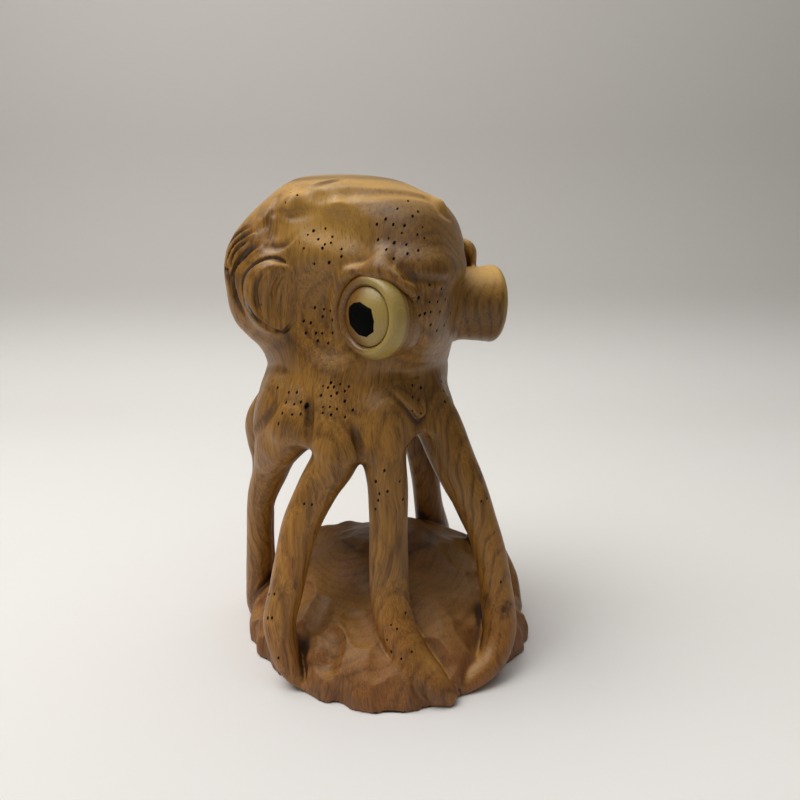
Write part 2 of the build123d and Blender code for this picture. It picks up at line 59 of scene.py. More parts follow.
# Centre line and radius of each arm, from under the head down to its foot
ARMS = {
    "arm_rear_left": [
        (-41, 11, 112, 9.0), (-50.2, 15.5, 102, 9.5), (-56.6, 19, 93, 9.0), (-59.2, 22.4, 82.8, 7.0),
        (-58.9, 24.6, 72.7, 6.0), (-60.2, 25.8, 59.8, 5.6), (-61.2, 26, 44.2, 5.4), (-61.5, 25, 27.6, 5.5),
        (-60.3, 23.6, 13.8, 5.4), (-59.5, 22.8, 3.7, 3.8),
    ],
    "arm_left": [
        (-37.4, -19.5, 114, 10.0), (-41.4, -19, 104, 10.4), (-44.6, -16.2, 92, 9.4), (-48.4, -11, 80, 7.4),
        (-53.9, -6.1, 65.3, 6.0), (-56.8, -1.2, 50.6, 5.5), (-58, 3, 35, 5.7), (-59.8, 6.1, 20.2, 5.6),
        (-61.6, 8.5, 9.2, 4.6), (-63.0, 10.4, 2.8, 2.8),
    ],
    "arm_front_left": [
        (-19, -28, 114, 9.5), (-18.8, -33, 104, 9.5), (-18.3, -36.6, 92, 9.0), (-25.2, -36.6, 80, 8.2),
        (-31.6, -37.8, 66, 7.4), (-35.6, -39.7, 52, 6.8), (-38.4, -42.1, 38.6, 6.6),
        (-40.9, -44.5, 26.7, 6.6), (-39.3, -45.2, 15.6, 6.0), (-36, -46.6, 7.4, 4.9),
        (-31.8, -48.4, 2.8, 3.2),
    ],
    "arm_front": [
        (0.7, -31, 114, 9.5), (0.8, -34, 104, 9.0), (0.6, -36.6, 92, 8.4), (1.8, -37.8, 80, 7.7),
        (1.9, -39, 66, 7.3), (2.0, -40.3, 52, 7.5), (2.4, -42.1, 38.6, 7.7), (4.9, -45.8, 26.7, 7.9),
        (11, -51.2, 15.6, 7.5), (18.9, -55.5, 7.4, 6.3), (24.4, -57, 3, 4.0),
    ],
    "arm_front_right": [
        (15, -17, 114, 9.0), (21, -20, 104, 9.3), (26, -22, 92, 9.0), (31.4, -24.4, 80, 8.3),
        (37.9, -26.8, 66, 7.1), (42.7, -28.7, 52, 6.8), (45.4, -29.9, 38.6, 6.7), (46.9, -32.3, 26.7, 6.7),
        (47, -35.4, 17.2, 6.4), (43.6, -41, 9.4, 5.6), (37.2, -46.4, 5, 4.6), (32.6, -49.6, 2.8, 3.3),
    ],
    "arm_right": [
        (14, 5, 114, 9.0), (19, 7, 104, 9.0), (23.8, 8.5, 92, 8.8), (29, 14, 78.2, 7.2),
        (34.4, 18.9, 62.6, 6.5), (42, 21.4, 46, 6.3), (50, 20.1, 30.4, 6.3), (57.5, 15.9, 15.6, 6.0),
        (60.8, 9.8, 4.6, 4.2),
    ],
    "arm_rear_right": [
        (5, 27, 114, 9.0), (8, 30, 104, 9.0), (12.2, 31.7, 92, 8.8), (16.2, 31.7, 78.2, 7.6),
        (18.9, 32.9, 62.6, 7.1), (20.7, 34.8, 46, 6.9), (23.8, 38.4, 32.2, 7.4), (28, 45.1, 17.5, 6.8),
        (31.1, 52.5, 5.5, 4.6),
    ],
    "arm_rear": [
        (-17, 29, 114, 9.0), (-17.5, 32.5, 104, 9.0), (-19.4, 35.4, 92, 8.8), (-27, 37.8, 78.2, 7.8),
        (-33.5, 40, 62.6, 7.0), (-38.5, 42, 46, 6.7), (-42.2, 45, 30.4, 6.7), (-43.4, 47.4, 15.6, 6.0),
        (-44.6, 50, 4.6, 4.0),
    ],
}  # fmt: skip
# Between the arms, in turns from the front: how low the web hangs
WEB_LOBES = [(-97, 94), (-46, 101.0), (2, 92.5), (41, 100), (84, 93), (123, 94), (168, 92), (220, 92)]
WEB_AXIS = (-12.0, 0.0)
ROOT_HEIGHT = 92.0
NECK_HEIGHT = 122.0

# Levels of the head and web: height, half length, half depth, middle in X, share of flat cheeks
HEAD_LEVELS = [
    (80, 47, 46, -12.5, 0), (92, 45.5, 44.5, -12.3, 0), (104, 43.2, 42.3, -12.8, 0),
    (114, 40.2, 39.6, -12.8, 0), (120, 39, 38.0, -11.7, 0), (124, 38.4, 37.3, -11.0, 0),
    (128, 39.4, 38.5, -10.8, 0.2), (132, 41, 40.5, -11.4, 0.5), (136, 43.4, 42.5, -13.1, 0.75),
    (142, 46.2, 44.8, -15.4, 0.95), (148, 47.8, 46, -16, 1), (155, 48.8, 46.2, -15.8, 0.95),
    (162, 49.6, 46, -15.5, 0.88), (169, 48.9, 45, -15.4, 0.78), (176, 46.3, 43, -14.8, 0.66),
    (181, 43.6, 41.3, -13.7, 0.54), (186, 39.8, 38.4, -12.8, 0.42), (190, 35.6, 34.9, -12.3, 0.25),
    (194, 29.4, 28.4, -13.6, 0), (197, 23.6, 22, -14.8, 0), (198.8, 17.4, 16, -16.6, 0),
    (199.5, 11, 10, -18, 0), (199.8, 0.5, 0.5, -18, 0),
]  # fmt: skip
CHEEK_PLAN = [
    (1.00, 0.00), (0.90, 0.62), (0.58, 1.00), (-0.10, 0.71), (-0.60, 0.59), (-0.93, 0.38), (-1.00, 0.00),
]  # fmt: skip

# Carved lines and swells of the head: radius, rise (below zero is cut away), blend, both sides, route
RELIEF = [
    # wrinkles round the left end
    (1.0, -2.2, 0.3, True, [
        (-51, -22.9, 178.6), (-55.1, -19, 177.4), (-59, -15.5, 174.3), (-62.3, -12.2, 170.3),
        (-63.4, -13, 166), (-62.3, -16.1, 162.5), (-61.1, -17.9, 157.7), (-60.1, -18.5, 153.3)]),
    (1.0, -2.2, 0.3, True, [
        (-49, -25.9, 177.3), (-52.7, -23.3, 176.1), (-56.9, -20.2, 173.4), (-59.7, -18.4, 169.7),
        (-61.2, -17.3, 165.9), (-61, -18.2, 161.5), (-59.8, -19.2, 156.2), (-58.4, -20.1, 151.9)]),
    (1.0, -2.0, 0.3, True, [
        (-51.4, -25.4, 174.4), (-54.8, -23.4, 172.4), (-57.9, -21.2, 169.1), (-59.5, -19.9, 165.4),
        (-59.7, -20, 162.5)]),
    (1.4, -2.6, 0.3, True, [
        (-47, -28.8, 172.4), (-50.8, -27, 170.4), (-54.2, -24.7, 167.7), (-56.8, -22.6, 164.9),
        (-58.6, -21, 161.1), (-58.9, -20.2, 157.2), (-57.9, -20.6, 152.4), (-55.9, -21.7, 148.1),
        (-54.1, -22.5, 145.3)]),
    # grooves round and across the coil
    (1.0, -1.4, 0.4, False, [
        (-32.5, -32.1, 157.1), (-33.3, -32.4, 160.3), (-34.5, -32.7, 164), (-36.7, -33, 166.3),
        (-41.4, -32.4, 167.6), (-45.4, -31.2, 166.3), (-49.7, -28.7, 163.5), (-52.6, -26.2, 160.7),
        (-53.7, -24.9, 156.9), (-53.2, -26.2, 152.7), (-50.4, -30.9, 148.3), (-47.9, -32.5, 145.1),
        (-44.1, -33.3, 141.9), (-41.1, -32, 140.1), (-38.3, -28.9, 140), (-35.3, -29.1, 142),
        (-33.5, -29.5, 144.4)]),
    (0.9, -1.4, 0.3, False, [
        (-39.8, -35.3, 163.8), (-43.1, -35.4, 162), (-45.8, -34.7, 159.5), (-47.2, -34.5, 155.8),
        (-47.1, -34.7, 151.7), (-45.8, -35, 147.6), (-43.6, -35, 144.4), (-41.4, -35, 143)]),
    (0.9, -1.2, 0.3, False, [
        (-35.4, -36.2, 160.2), (-37.5, -37.8, 158.2), (-38.9, -38.2, 155.5), (-39.7, -38.2, 152.8),
        (-39.6, -38, 150.1)]),
    # folds of the upper left
    (2.4, -1.5, 1.2, True, [
        (-39.7, -21.8, 189), (-41.4, -26.6, 184.1), (-44.1, -27.7, 180.4), (-47.7, -26.4, 178.2)]),
    (9.0, -2.4, 3.0, True, [(-43.5, -30, 177.3), (-38.7, -32.6, 177)]),
    (2.0, -1.5, 1.0, True, [
        (-43.3, -30.7, 172.6), (-39.8, -32.3, 172.8), (-36.4, -33.5, 172.5), (-33.5, -34.3, 173.4),
        (-31.5, -34.9, 175.6)]),
    (6.0, 2.7, 2.5, True, [(-35.4, -28, 186.8), (-29.5, -30.8, 186.6)]),
    (4.5, 2.6, 3.0, True, [(-19.1, -33.7, 186.6), (-15.8, -35.6, 184.3)]),
    (2.2, -1.5, 1.0, True, [
        (-41.4, -26.6, 184.1), (-37.5, -30.5, 182.9), (-34.4, -32.7, 181.8), (-30.6, -33.7, 182.3),
        (-27.8, -33.8, 183.3), (-25, -34.3, 183.8)]),
    # swell of the forehead's left half, and the valley between its two sides
    (13.0, 2.6, 6.0, True, [(-28, -34, 169), (-19, -35.5, 167)]),
    (8.0, -3.2, 4.0, True, [
        (-25, -34.3, 183.8), (-21.7, -35.8, 182.1), (-18.5, -36.9, 179.4), (-15, -37.8, 176.4),
        (-11.5, -38.5, 173.3), (-8.7, -39.3, 170.2)]),
    # line under the crown, and the fold at its left end
    (3.6, -1.2, 1.8, True, [
        (-31.6, -24.6, 191.7), (-28.4, -28.2, 190.2), (-23.5, -31, 189.3), (-18.7, -32.4, 189),
        (-14.5, -32.5, 189.9), (-8.4, -32.3, 190.4), (-3.5, -32.2, 190.1), (3.8, -30.4, 189.8),
        (10.2, -27.2, 189.2), (16.5, -22.5, 188), (18.8, -23.7, 185.7), (21.1, -23.9, 183.4),
        (24.2, -20, 182.5)]),
    (1.8, -1.3, 0.8, True, [
        (-25.3, -26.5, 192.6), (-21.6, -25.8, 194), (-17.5, -24.9, 195.2), (-14.4, -23.4, 196.3)]),
    (5.0, 1.4, 1.5, True, [(18.1, -16.5, 189.4), (21.1, -17.7, 186.7), (23.5, -18.5, 184)]),
    # fold that runs from the eye to the siphon, and the groove under it
    (5.0, 1.0, 4.5, True, [
        (-0.6, -42.2, 162.7), (3, -43.3, 163.8), (6.5, -44, 164.7), (12.7, -44.3, 164),
        (19.5, -41.2, 163.2), (24.9, -35, 163.1), (31, -20, 163)]),
    (2.2, -0.8, 1.2, True, [
        (4.7, -44.4, 161.2), (9.1, -45.2, 160.4), (13.6, -44.9, 160),
        (18.1, -42.9, 159.6), (21.9, -39.5, 159.6)]),
]  # fmt: skip

# Punched dots, where they lie on the surface
HEAD_DOTS = [
    (-27, -35.8, 176.4), (-24.4, -36.1, 178.6), (-20.5, -36.7, 179), (-17.8, -37.3, 176.9),
    (-23, -36.5, 175.2), (-17.8, -37.3, 174.2), (-20.7, -36.5, 172.2), (-21.6, -36, 170.1),
    (-14.5, -37.7, 171.5), (-14.7, -37.3, 167.6), (-28.2, -34.8, 170.3), (-24.3, -34.3, 165.4),
    (-19.2, -35.5, 165.6), (-31.5, -28.7, 188.3), (-34.3, -28.9, 186.5), (-34.3, -24.8, 190.3),
    (-25.9, -31.3, 148.4), (-23.4, -31.9, 147.9), (-20.2, -32.9, 147.4), (-23.5, -31.6, 145.2),
    (-30.2, -29.9, 143.6), (-27.5, -30.4, 142.9), (-19.5, -32.8, 144), (-29.4, -30, 139),
    (-25.6, -30.8, 139.1), (-23.3, -31.4, 139.1), (-19.9, -32.4, 139.1), (-24.9, -31.2, 136.2),
    (-21, -32.2, 135.5), (9, -32.1, 185.9), (5.5, -35.7, 183.4), (1.4, -38.2, 180.4),
    (-1.9, -38.9, 178.9), (12.2, -34, 182.1), (10.5, -36.3, 180.6), (4.2, -39.2, 178.4),
    (8.1, -39.1, 177.8), (13.9, -37.2, 177), (7.2, -40.6, 175.4), (12.3, -39.6, 174.5),
    (2.4, -41.1, 173.8), (-1.7, -40.6, 173.6), (4.5, -41.8, 172.1), (14.6, -39.2, 173.2),
    (8.8, -42.2, 171.2), (1.7, -42.2, 169), (12.6, -42.5, 168.5), (9.2, -43.4, 167.5),
    (4.6, -43.3, 166.1), (16.6, -44.2, 157.5), (20.9, -40.8, 156.3), (12.9, -45.7, 153.2),
    (16.8, -44.2, 151.5), (19.8, -41.8, 151.6), (22.9, -38.2, 152.1), (15.2, -44.9, 147.5),
    (17.3, -43.7, 148), (20.9, -40.1, 147.8), (25.6, -31.4, 146.7), (13.4, -45.5, 146.9),
    (13.1, -44.3, 142.9), (17.4, -42, 143.3), (23, -34.2, 142.3), (19.9, -38, 140.8),
]  # fmt: skip
BODY_DOTS = [
    (-22.5, -37.4, 119.8), (-19.4, -37.3, 121), (-16, -37.9, 120.6), (-12.6, -38.2, 119.8),
    (-18.3, -38.2, 119.6), (-20.6, -38, 119.3), (-14.1, -38.9, 118.2), (-17.1, -39.2, 117.5),
    (-19.3, -39.4, 116.4), (-23.2, -38.4, 116.3), (-19.7, -40.9, 112.5), (-17, -41.3, 111.8),
    (-14.1, -40.2, 114.6), (-11.1, -40.8, 111.3), (-22.3, -40.3, 112.3), (-22.3, -41, 110.2),
    (-19.2, -42, 109.7), (-14, -42, 108.9), (-40.5, -27.5, 117.2), (-36, -31.5, 116),
    (-32.6, -33.5, 116.4), (-36.4, -32.9, 111.9), (-33.3, -34.8, 111.9), (-31, -35.6, 113.1),
    (-37.4, -33.8, 108.2), (-34, -35.9, 108.3), (-31.1, -37.1, 108.8), (-39.1, -33.9, 104.4),
    (23.5, -19, 118.5), (25.9, -10, 116.3), (24.2, -21.5, 114.9), (26.3, -19.7, 111.7),
    (24.2, -25, 111.1), (11.1, -32, 119), (13.8, -30, 117.5), (15.1, -28.7, 115), (10.3, -34, 114.5),
    (13.1, -32, 113), (15.1, -31, 111.5), (11.1, -35, 110.8), (13.5, -33, 109),
    (0.7, -45, 89.1), (-2.4, -44.2, 84.6), (6.1, -43.2, 84.3), (-1.1, -44.8, 79.9), (1.8, -45.1, 81),
    (-1.6, -44.8, 77.3), (7, -42.7, 77), (-2.8, -44.5, 73.6), (-26.9, -44.2, 75.5), (-29.4, -42.9, 75.4),
    (8.8, -49.7, 33.4), (3.1, -52.7, 30.1), (5.4, -53.4, 28.8), (1.5, -53.3, 24.2), (3.1, -54.7, 20),
    (11, -56.7, 21.3), (6.9, -57.2, 18.6), (-44.5, -45.3, 38.9), (-41.8, -47.5, 40.2),
    (-44.5, -49, 30.9), (-42.7, -49.8, 31.4), (-41.2, -52.6, 14.8), (47.2, -36.7, 39.6),
    (41.4, -31, 73), (38.4, -31.9, 72.2),
]  # fmt: skip
WEB_HOLLOW = (9.0, -1.6, 4.0, [(-6, -39, 119), (0, -38, 118.5), (6, -36, 117)])
# Creases and swells of the web where the arms part (radius, rise, blend, route), and the skin that
# widens the left arm's top
WEB_FOLDS = [
    (2.2, -1.9, 1.0, [
        (-27.9, -40.7, 98), (-27.9, -39.7, 102.5), (-27.5, -38.6, 107.7), (-27.6, -37.1, 112.8),
        (-26.9, -35.9, 117.2)]),
    (2.0, -1.6, 1.0, [(-7.4, -44, 93.2), (-8.9, -43.1, 98), (-10.3, -42.5, 102.5), (-11.5, -41.5, 106.8)]),
    (2.4, -1.6, 1.2, [
        (-55.1, -16.9, 87.3), (-51.8, -20.8, 96.1), (-45.8, -27.1, 104.2), (-41.7, -29, 109.9),
        (-41.4, -27.3, 114.8)]),
    (8.0, 1.3, 3.0, [(-38, -31, 103), (-35.5, -32.5, 109), (-34, -33, 113)]),
]  # fmt: skip
ARM_SKIN = [
    (-31.2, -29.8, 102.0, 8.0), (-36.3, -27.0, 97.5, 8.0), (-41.0, -23.6, 91.8, 7.5),
    (-45.2, -18.0, 86.0, 5.4), (-48.0, -13.2, 81.6, 2.5),
]  # fmt: skip
LARGE_HOLE = (-28.7, -37.3, 112.1)
# Dark knots of the right front arm, painted shade on the forehead, siphon and web, a pale knot on the
# crown, and painted highlights on the siphon's top and the forehead's left: place, radius, strength
KNOTS_AND_PAINTED_SHADE = [
    ((40.5, -37.0, 31.0), 6.0, 0.8), ((49.0, -38.5, 29.0), 6.0, 0.8), ((38.5, -28.0, 82.0), 6.0, 0.8),
    ((7.0, -40.0, 176.0), 26.0, 0.36), ((42.0, -15.0, 141.0), 20.0, 0.36),
    ((-46.0, -23.0, 107.0), 16.0, 0.3),
]  # fmt: skip
PALE_KNOT_AND_PAINTED_HIGHLIGHTS = [
    ((21.0, -17.6, 187.0), 7.0, 0.5), ((42.0, -6.0, 165.0), 18.0, 0.8), ((-20.0, -33.0, 183.0), 24.0, 0.5),
]  # fmt: skip

EYE_FRONT = np.array([-6.4, -43.7, 146.1])
EYE_HEADING = np.array([-math.sin(math.radians(42)), -math.cos(math.radians(42)), 0.0])
EYE_RING_RADIUS = 15.8
EYE_RING_DEPTH = 23.0
EYEBALL_RADIUS = 10.8
EYEBALL_EDGE = -1.2
EYEBALL_DOME = 3.6
# Corners of the painted pupil, right and up from the eyeball's middle as one looks at it
PUPIL_CORNERS = [
    (-6.9, 3.4), (-4.0, 5.0), (-0.5, 5.5), (5.0, 3.2), (6.2, -0.9), (5.5, -4.9), (2.0, -7.0), (-1.6, -6.5),
    (-6.0, -3.1), (-6.9, 0.5),
]  # fmt: skip
# Lid round the ring: turn from the right, distance out and radius
EYE_LID = [
    (215, -3.8, 1.4), (190, -2.2, 2.0), (165, -1.5, 2.4), (140, -1.3, 2.5), (115, -1.5, 2.5), (90, -2.3, 2.4),
    (65, -3.9, 2.3), (45, -6.1, 2.0), (30, -8.9, 1.4),
]  # fmt: skip
SIPHON_MOUTH = np.array([47.3, 0.0, 148.1])
SIPHON_HEADING = np.array([math.cos(math.radians(12)), math.sin(math.radians(12)), 0.0])
KNOB = [(33.0, 9.0, 160.0, 6.0), (33.0, 10.0, 169.0, 6.0)]
COIL_CENTRE = np.array([-43.2, -29.0, 153.2])
COIL_HEADING = np.array([-math.cos(math.radians(50)), -math.sin(math.radians(50)), 0.0])
COIL_HALF = (7.5, 12.4, 14.2)
FLAP_CENTRE = np.array([9.8, -33.6, 114.0])
FLAP_HEADING = np.array([math.sin(math.radians(33)), -math.cos(math.radians(33)), 0.0])
FLAP_CORNERS = [(-10.0, 7.4), (3.4, -8.6), (7.3, -5.2), (7.3, 7.4)]

# Rim of the rock every 10 degrees from +X, and its levels: height, share of the rim, shift to the back
ROCK_RIM = [
    63, 64.5, 65.5, 64, 62.5, 61.5, 61.5, 62.5, 63, 61.5, 60.5, 61.5, 61.5, 62, 63.5, 63, 63.5, 64,
    63, 62.4, 61, 59.6, 58, 58.9, 59.8, 62, 63.2, 64.5, 64.6, 63, 61.2, 60.6, 59, 60.4, 64.4, 64.6,
]  # fmt: skip
ROCK_LEVELS = [
    (-4, 1.0, 0), (0, 1.0, 0), (5, 1.0, 0), (10, 0.98, 0.3), (16, 0.92, 1.2), (22, 0.83, 2.6),
    (28, 0.71, 4.4), (34, 0.56, 6.2), (39, 0.39, 7.4), (42.5, 0.22, 7.6), (44, 0.01, 7.6),
]  # fmt: skip
# Broad hollows of the rock (place, radius, depth), its high corners at the back (two places
# and their radius), and rows of strokes (height, number, radius, depth, half length, most turn)
ROCK_HOLLOWS = [((-14, -26, 34), 26, 4.5), ((24, -18, 35), 24, 3.5), ((2, 34, 34), 26, 4.0)]
ROCK_CORNERS = [
    [(-35.0, 20.0, 28.5, 9.0), (-21.0, 26.0, 32.0, 8.0)], [(10.0, 26.0, 32.5, 9.0), (33.0, 21.0, 27.0, 9.0)],
]  # fmt: skip
GOUGE_ROWS = [
    (6, 20, 11, 3.0, 9, 0.25), (17, 18, 10, 2.6, 5, 0.6), (26, 15, 13, 2.2, 5, 0.9), (35, 9, 16, 1.8, 5, 1.2),
]  # fmt: skip

# Room for the eye ring's rounded shoulder, the siphon's cut and flare, and the coil's cut: distance
# out and radius
RING_SHOULDER = [(-5.2, 15.8), (-3.8, 15.7), (-2.2, 15.3), (-1.0, 14.75), (-0.25, 13.95), (0.2, 13.2)]
SIPHON_CUT = [(-24, 12.0), (-16, 14.2), (-9, 19.5), (8, 19.5)]
SIPHON_FLARE = [(-40, 13.4), (-26, 13.4), (-20, 13.6), (-18.5, 14.3), (-9, 15.1), (-3, 15.9), (0, 16.0)]
SIPHON_LIP = 3.5
SIPHON_LENGTH = 38
COIL_CUT = [(-9, 1.0), (14, 1.0)]
CUT_ROOM = 0.6  # width between the coil and its cut
LARGE_HOLE_WIDTH, LARGE_HOLE_DEPTH = 3.0, 2.5
# How much wider than the arm its sleeve is, by height
SLEEVE_ROOM = [(20, 0.9), (45, 1.7), (82, 1.7), (ROOT_HEIGHT, 0.5)]
# Paint of the pupil from its edge to its middle: share of the outline, lift off the eyeball
PUPIL_RINGS = [(1, -0.9), (1, 0.02), (0.985, 0.14), (0.8, 0.16), (0.55, 0.16), (0.3, 0.16), (0.05, 0.16)]

# Width of the rounded meeting lines, and random swells of the skin and the rock: grain, height, seed
ARM_BLEND = 4.0
WEB_EDGE_BLEND = 3.0
KNOB_BLEND = 2.0
SKIN_BLEND = 5.0
ROCK_BLEND = 1.6
SKIN_SWELLS = [(9.0, 0.3, 4), (20.0, 0.5, 5)]
ROCK_SWELLS = [(5.0, 0.6, 7), (2.5, 0.3, 8)]
ROCK_LOW, ROCK_TOP = ROCK_LEVELS[0][0], ROCK_LEVELS[-1][0]
ROCK_MEAN_RIM = 61
GOUGE_REACH = 62
LOWER_ROOM = (-72, -68, -3), (72, 68, NECK_HEIGHT + 4)
UPPER_ROOM = (-70, -56, NECK_HEIGHT - 4), (58, 56, 203)

# Tints of the reddish lower wood and of the feet
RED_TINT = (1.0, 0.76, 0.6, 1)
FOOT_TINT = (0.82, 0.76, 0.92, 1)

# Lamps (name, place, aim, width, power), the sweep's bend, and the camera
LAMPS = [
    ("key", (-500, -170, 1110), (-20, 0, 80), 900, 11.4),
    ("ceiling", (60, 40, 1300), (60, 41, 0), 1500, 7.5),
    ("fill", (300, -900, 500), (-8, 0, 105), 900, 0.3),
]
SKY_STRENGTH = 0.1
SWEEP_BEND, SWEEP_BACK, SWEEP_REACH, SWEEP_HALF = 350.0, 420.0, 2500, 3000
CAMERA_PLACE = (6.5, -286, 165)
CAMERA_TILT = 78.5
CAMERA_LENS, CAMERA_SENSOR = 30.2, 36


def linear(code):
    """Colour of a six-digit sRGB code, as the four linear values that a shader takes."""
    parts = [int(code[k : k + 2], 16) / 255 for k in (1, 3, 5)]
    return tuple(c / 12.92 if c <= 0.04045 else ((c + 0.055) / 1.055) ** 2.4 for c in parts) + (1.0,)


def length_property(name, description, default):
    """A size that a user may change, in metres."""
    return bpy.props.FloatProperty(
        name=name, description=description, default=default, unit="LENGTH", precision=5
    )


def colour_property(name, description, code):
    """A colour that a user may change, given as an sRGB code."""
    return bpy.props.FloatVectorProperty(
        name=name, description=description, default=linear(code), size=4, subtype="COLOR", min=0, max=1
    )


class OctopusSettings(bpy.types.PropertyGroup):
    """Sizes and colours of the carving."""

    head_step: length_property("Head detail", "Spacing of the field under the head's surface", 0.55 * MM)
    body_step: length_property("Body detail", "Spacing of the field under the arms and the rock", 0.75 * MM)
    dot_width: length_property("Dot width", "Width of a punched dot", 1.35 * MM)
    dot_depth: length_property("Dot depth", "Depth of a punched dot", 1.3 * MM)
    ring_width: length_property("Growth ring", "Usual width of a growth ring", 3.6 * MM)
    heartwood: colour_property("Heartwood", "Honey brown of the pale part of each ring", "#9B6E2E")
    latewood: colour_property("Latewood", "Brown of the dense part of each ring", "#523110")
    # Pale tone: the own colour of the crown's pale knot, and painted light elsewhere: on faces that look up,
    # and as painted highlights on the siphon and forehead.
    pale_tone_and_painted_light: colour_property("Pale tone and painted light", "Paler wood of faces that look up at the light", "#D0A04C")
    sapwood: colour_property("Sapwood", "Pale wood at the outside of the log", "#A68C47")
    # Dark brown: the own colour of knots and pores, and painted shade where it is laid into hollows, pits and
    # the spots of forehead, siphon and web.
    patina_and_painted_shade: colour_property("Patina", "Brown wax that stays in hollows", "#331D0C")
    rock_light: colour_property("Rock", "Reddish brown of the rock", "#85572A")
    rock_dark: colour_property("Rock shade", "Darker brown of the rock", "#513218")
    pupil_paint: colour_property("Pupil", "Black paint of the pupils", "#020202")
    floor_colour: colour_property("Floor", "Pale cloth colour of floor and backdrop", "#E4E0DA")


def smooth_min(a, b, blend):
    """Smaller of two distances, rounded where they are nearly equal."""
    near = np.maximum(blend - np.abs(a - b), 0) / blend
    return np.minimum(a, b) - near * near * blend / 4


def smooth_max(a, b, blend):
    """Larger of two distances, rounded where they are nearly equal."""
    return -smooth_min(-a, -b, blend)


def curve_points(points, count):
    """Even samples of a smooth curve through rows of numbers, open at both ends."""
    p = np.array(points, dtype=float)
    p = np.vstack([2 * p[0] - p[1], p, 2 * p[-1] - p[-2]])
    t = np.linspace(0, len(points) - 1 - 1e-9, count)
    i = t.astype(int)
    f = (t - i)[:, None]
    a, b, c, d = p[i], p[i + 1], p[i + 2], p[i + 3]
    return 0.5 * (2 * b + (c - a) * f + (2 * a - 5 * b + 4 * c - d) * f**2 + (3 * b - a - 3 * c + d) * f**3)


def steady_curve(x, y, at):
    """Values of a smooth curve through points, without overshoot between them."""
    step = np.diff(x)
    slope = np.diff(y) / step
    tangent = np.zeros(len(x))
    same = slope[:-1] * slope[1:] > 0
    mean = 2 * slope[:-1] * slope[1:] / np.where(same, slope[:-1] + slope[1:], 1)
    tangent[1:-1] = np.where(same, mean, 0)
    tangent[0], tangent[-1] = slope[0], slope[-1]
    i = np.clip(np.searchsorted(x, at, side="right") - 1, 0, len(x) - 2)
    h = step[i]
    t = (at - x[i]) / h
    start = y[i] * (2 * t**3 - 3 * t**2 + 1) + h * tangent[i] * (t**3 - 2 * t**2 + t)
    return start + y[i + 1] * (3 * t**2 - 2 * t**3) + h * tangent[i + 1] * (t**3 - t**2)


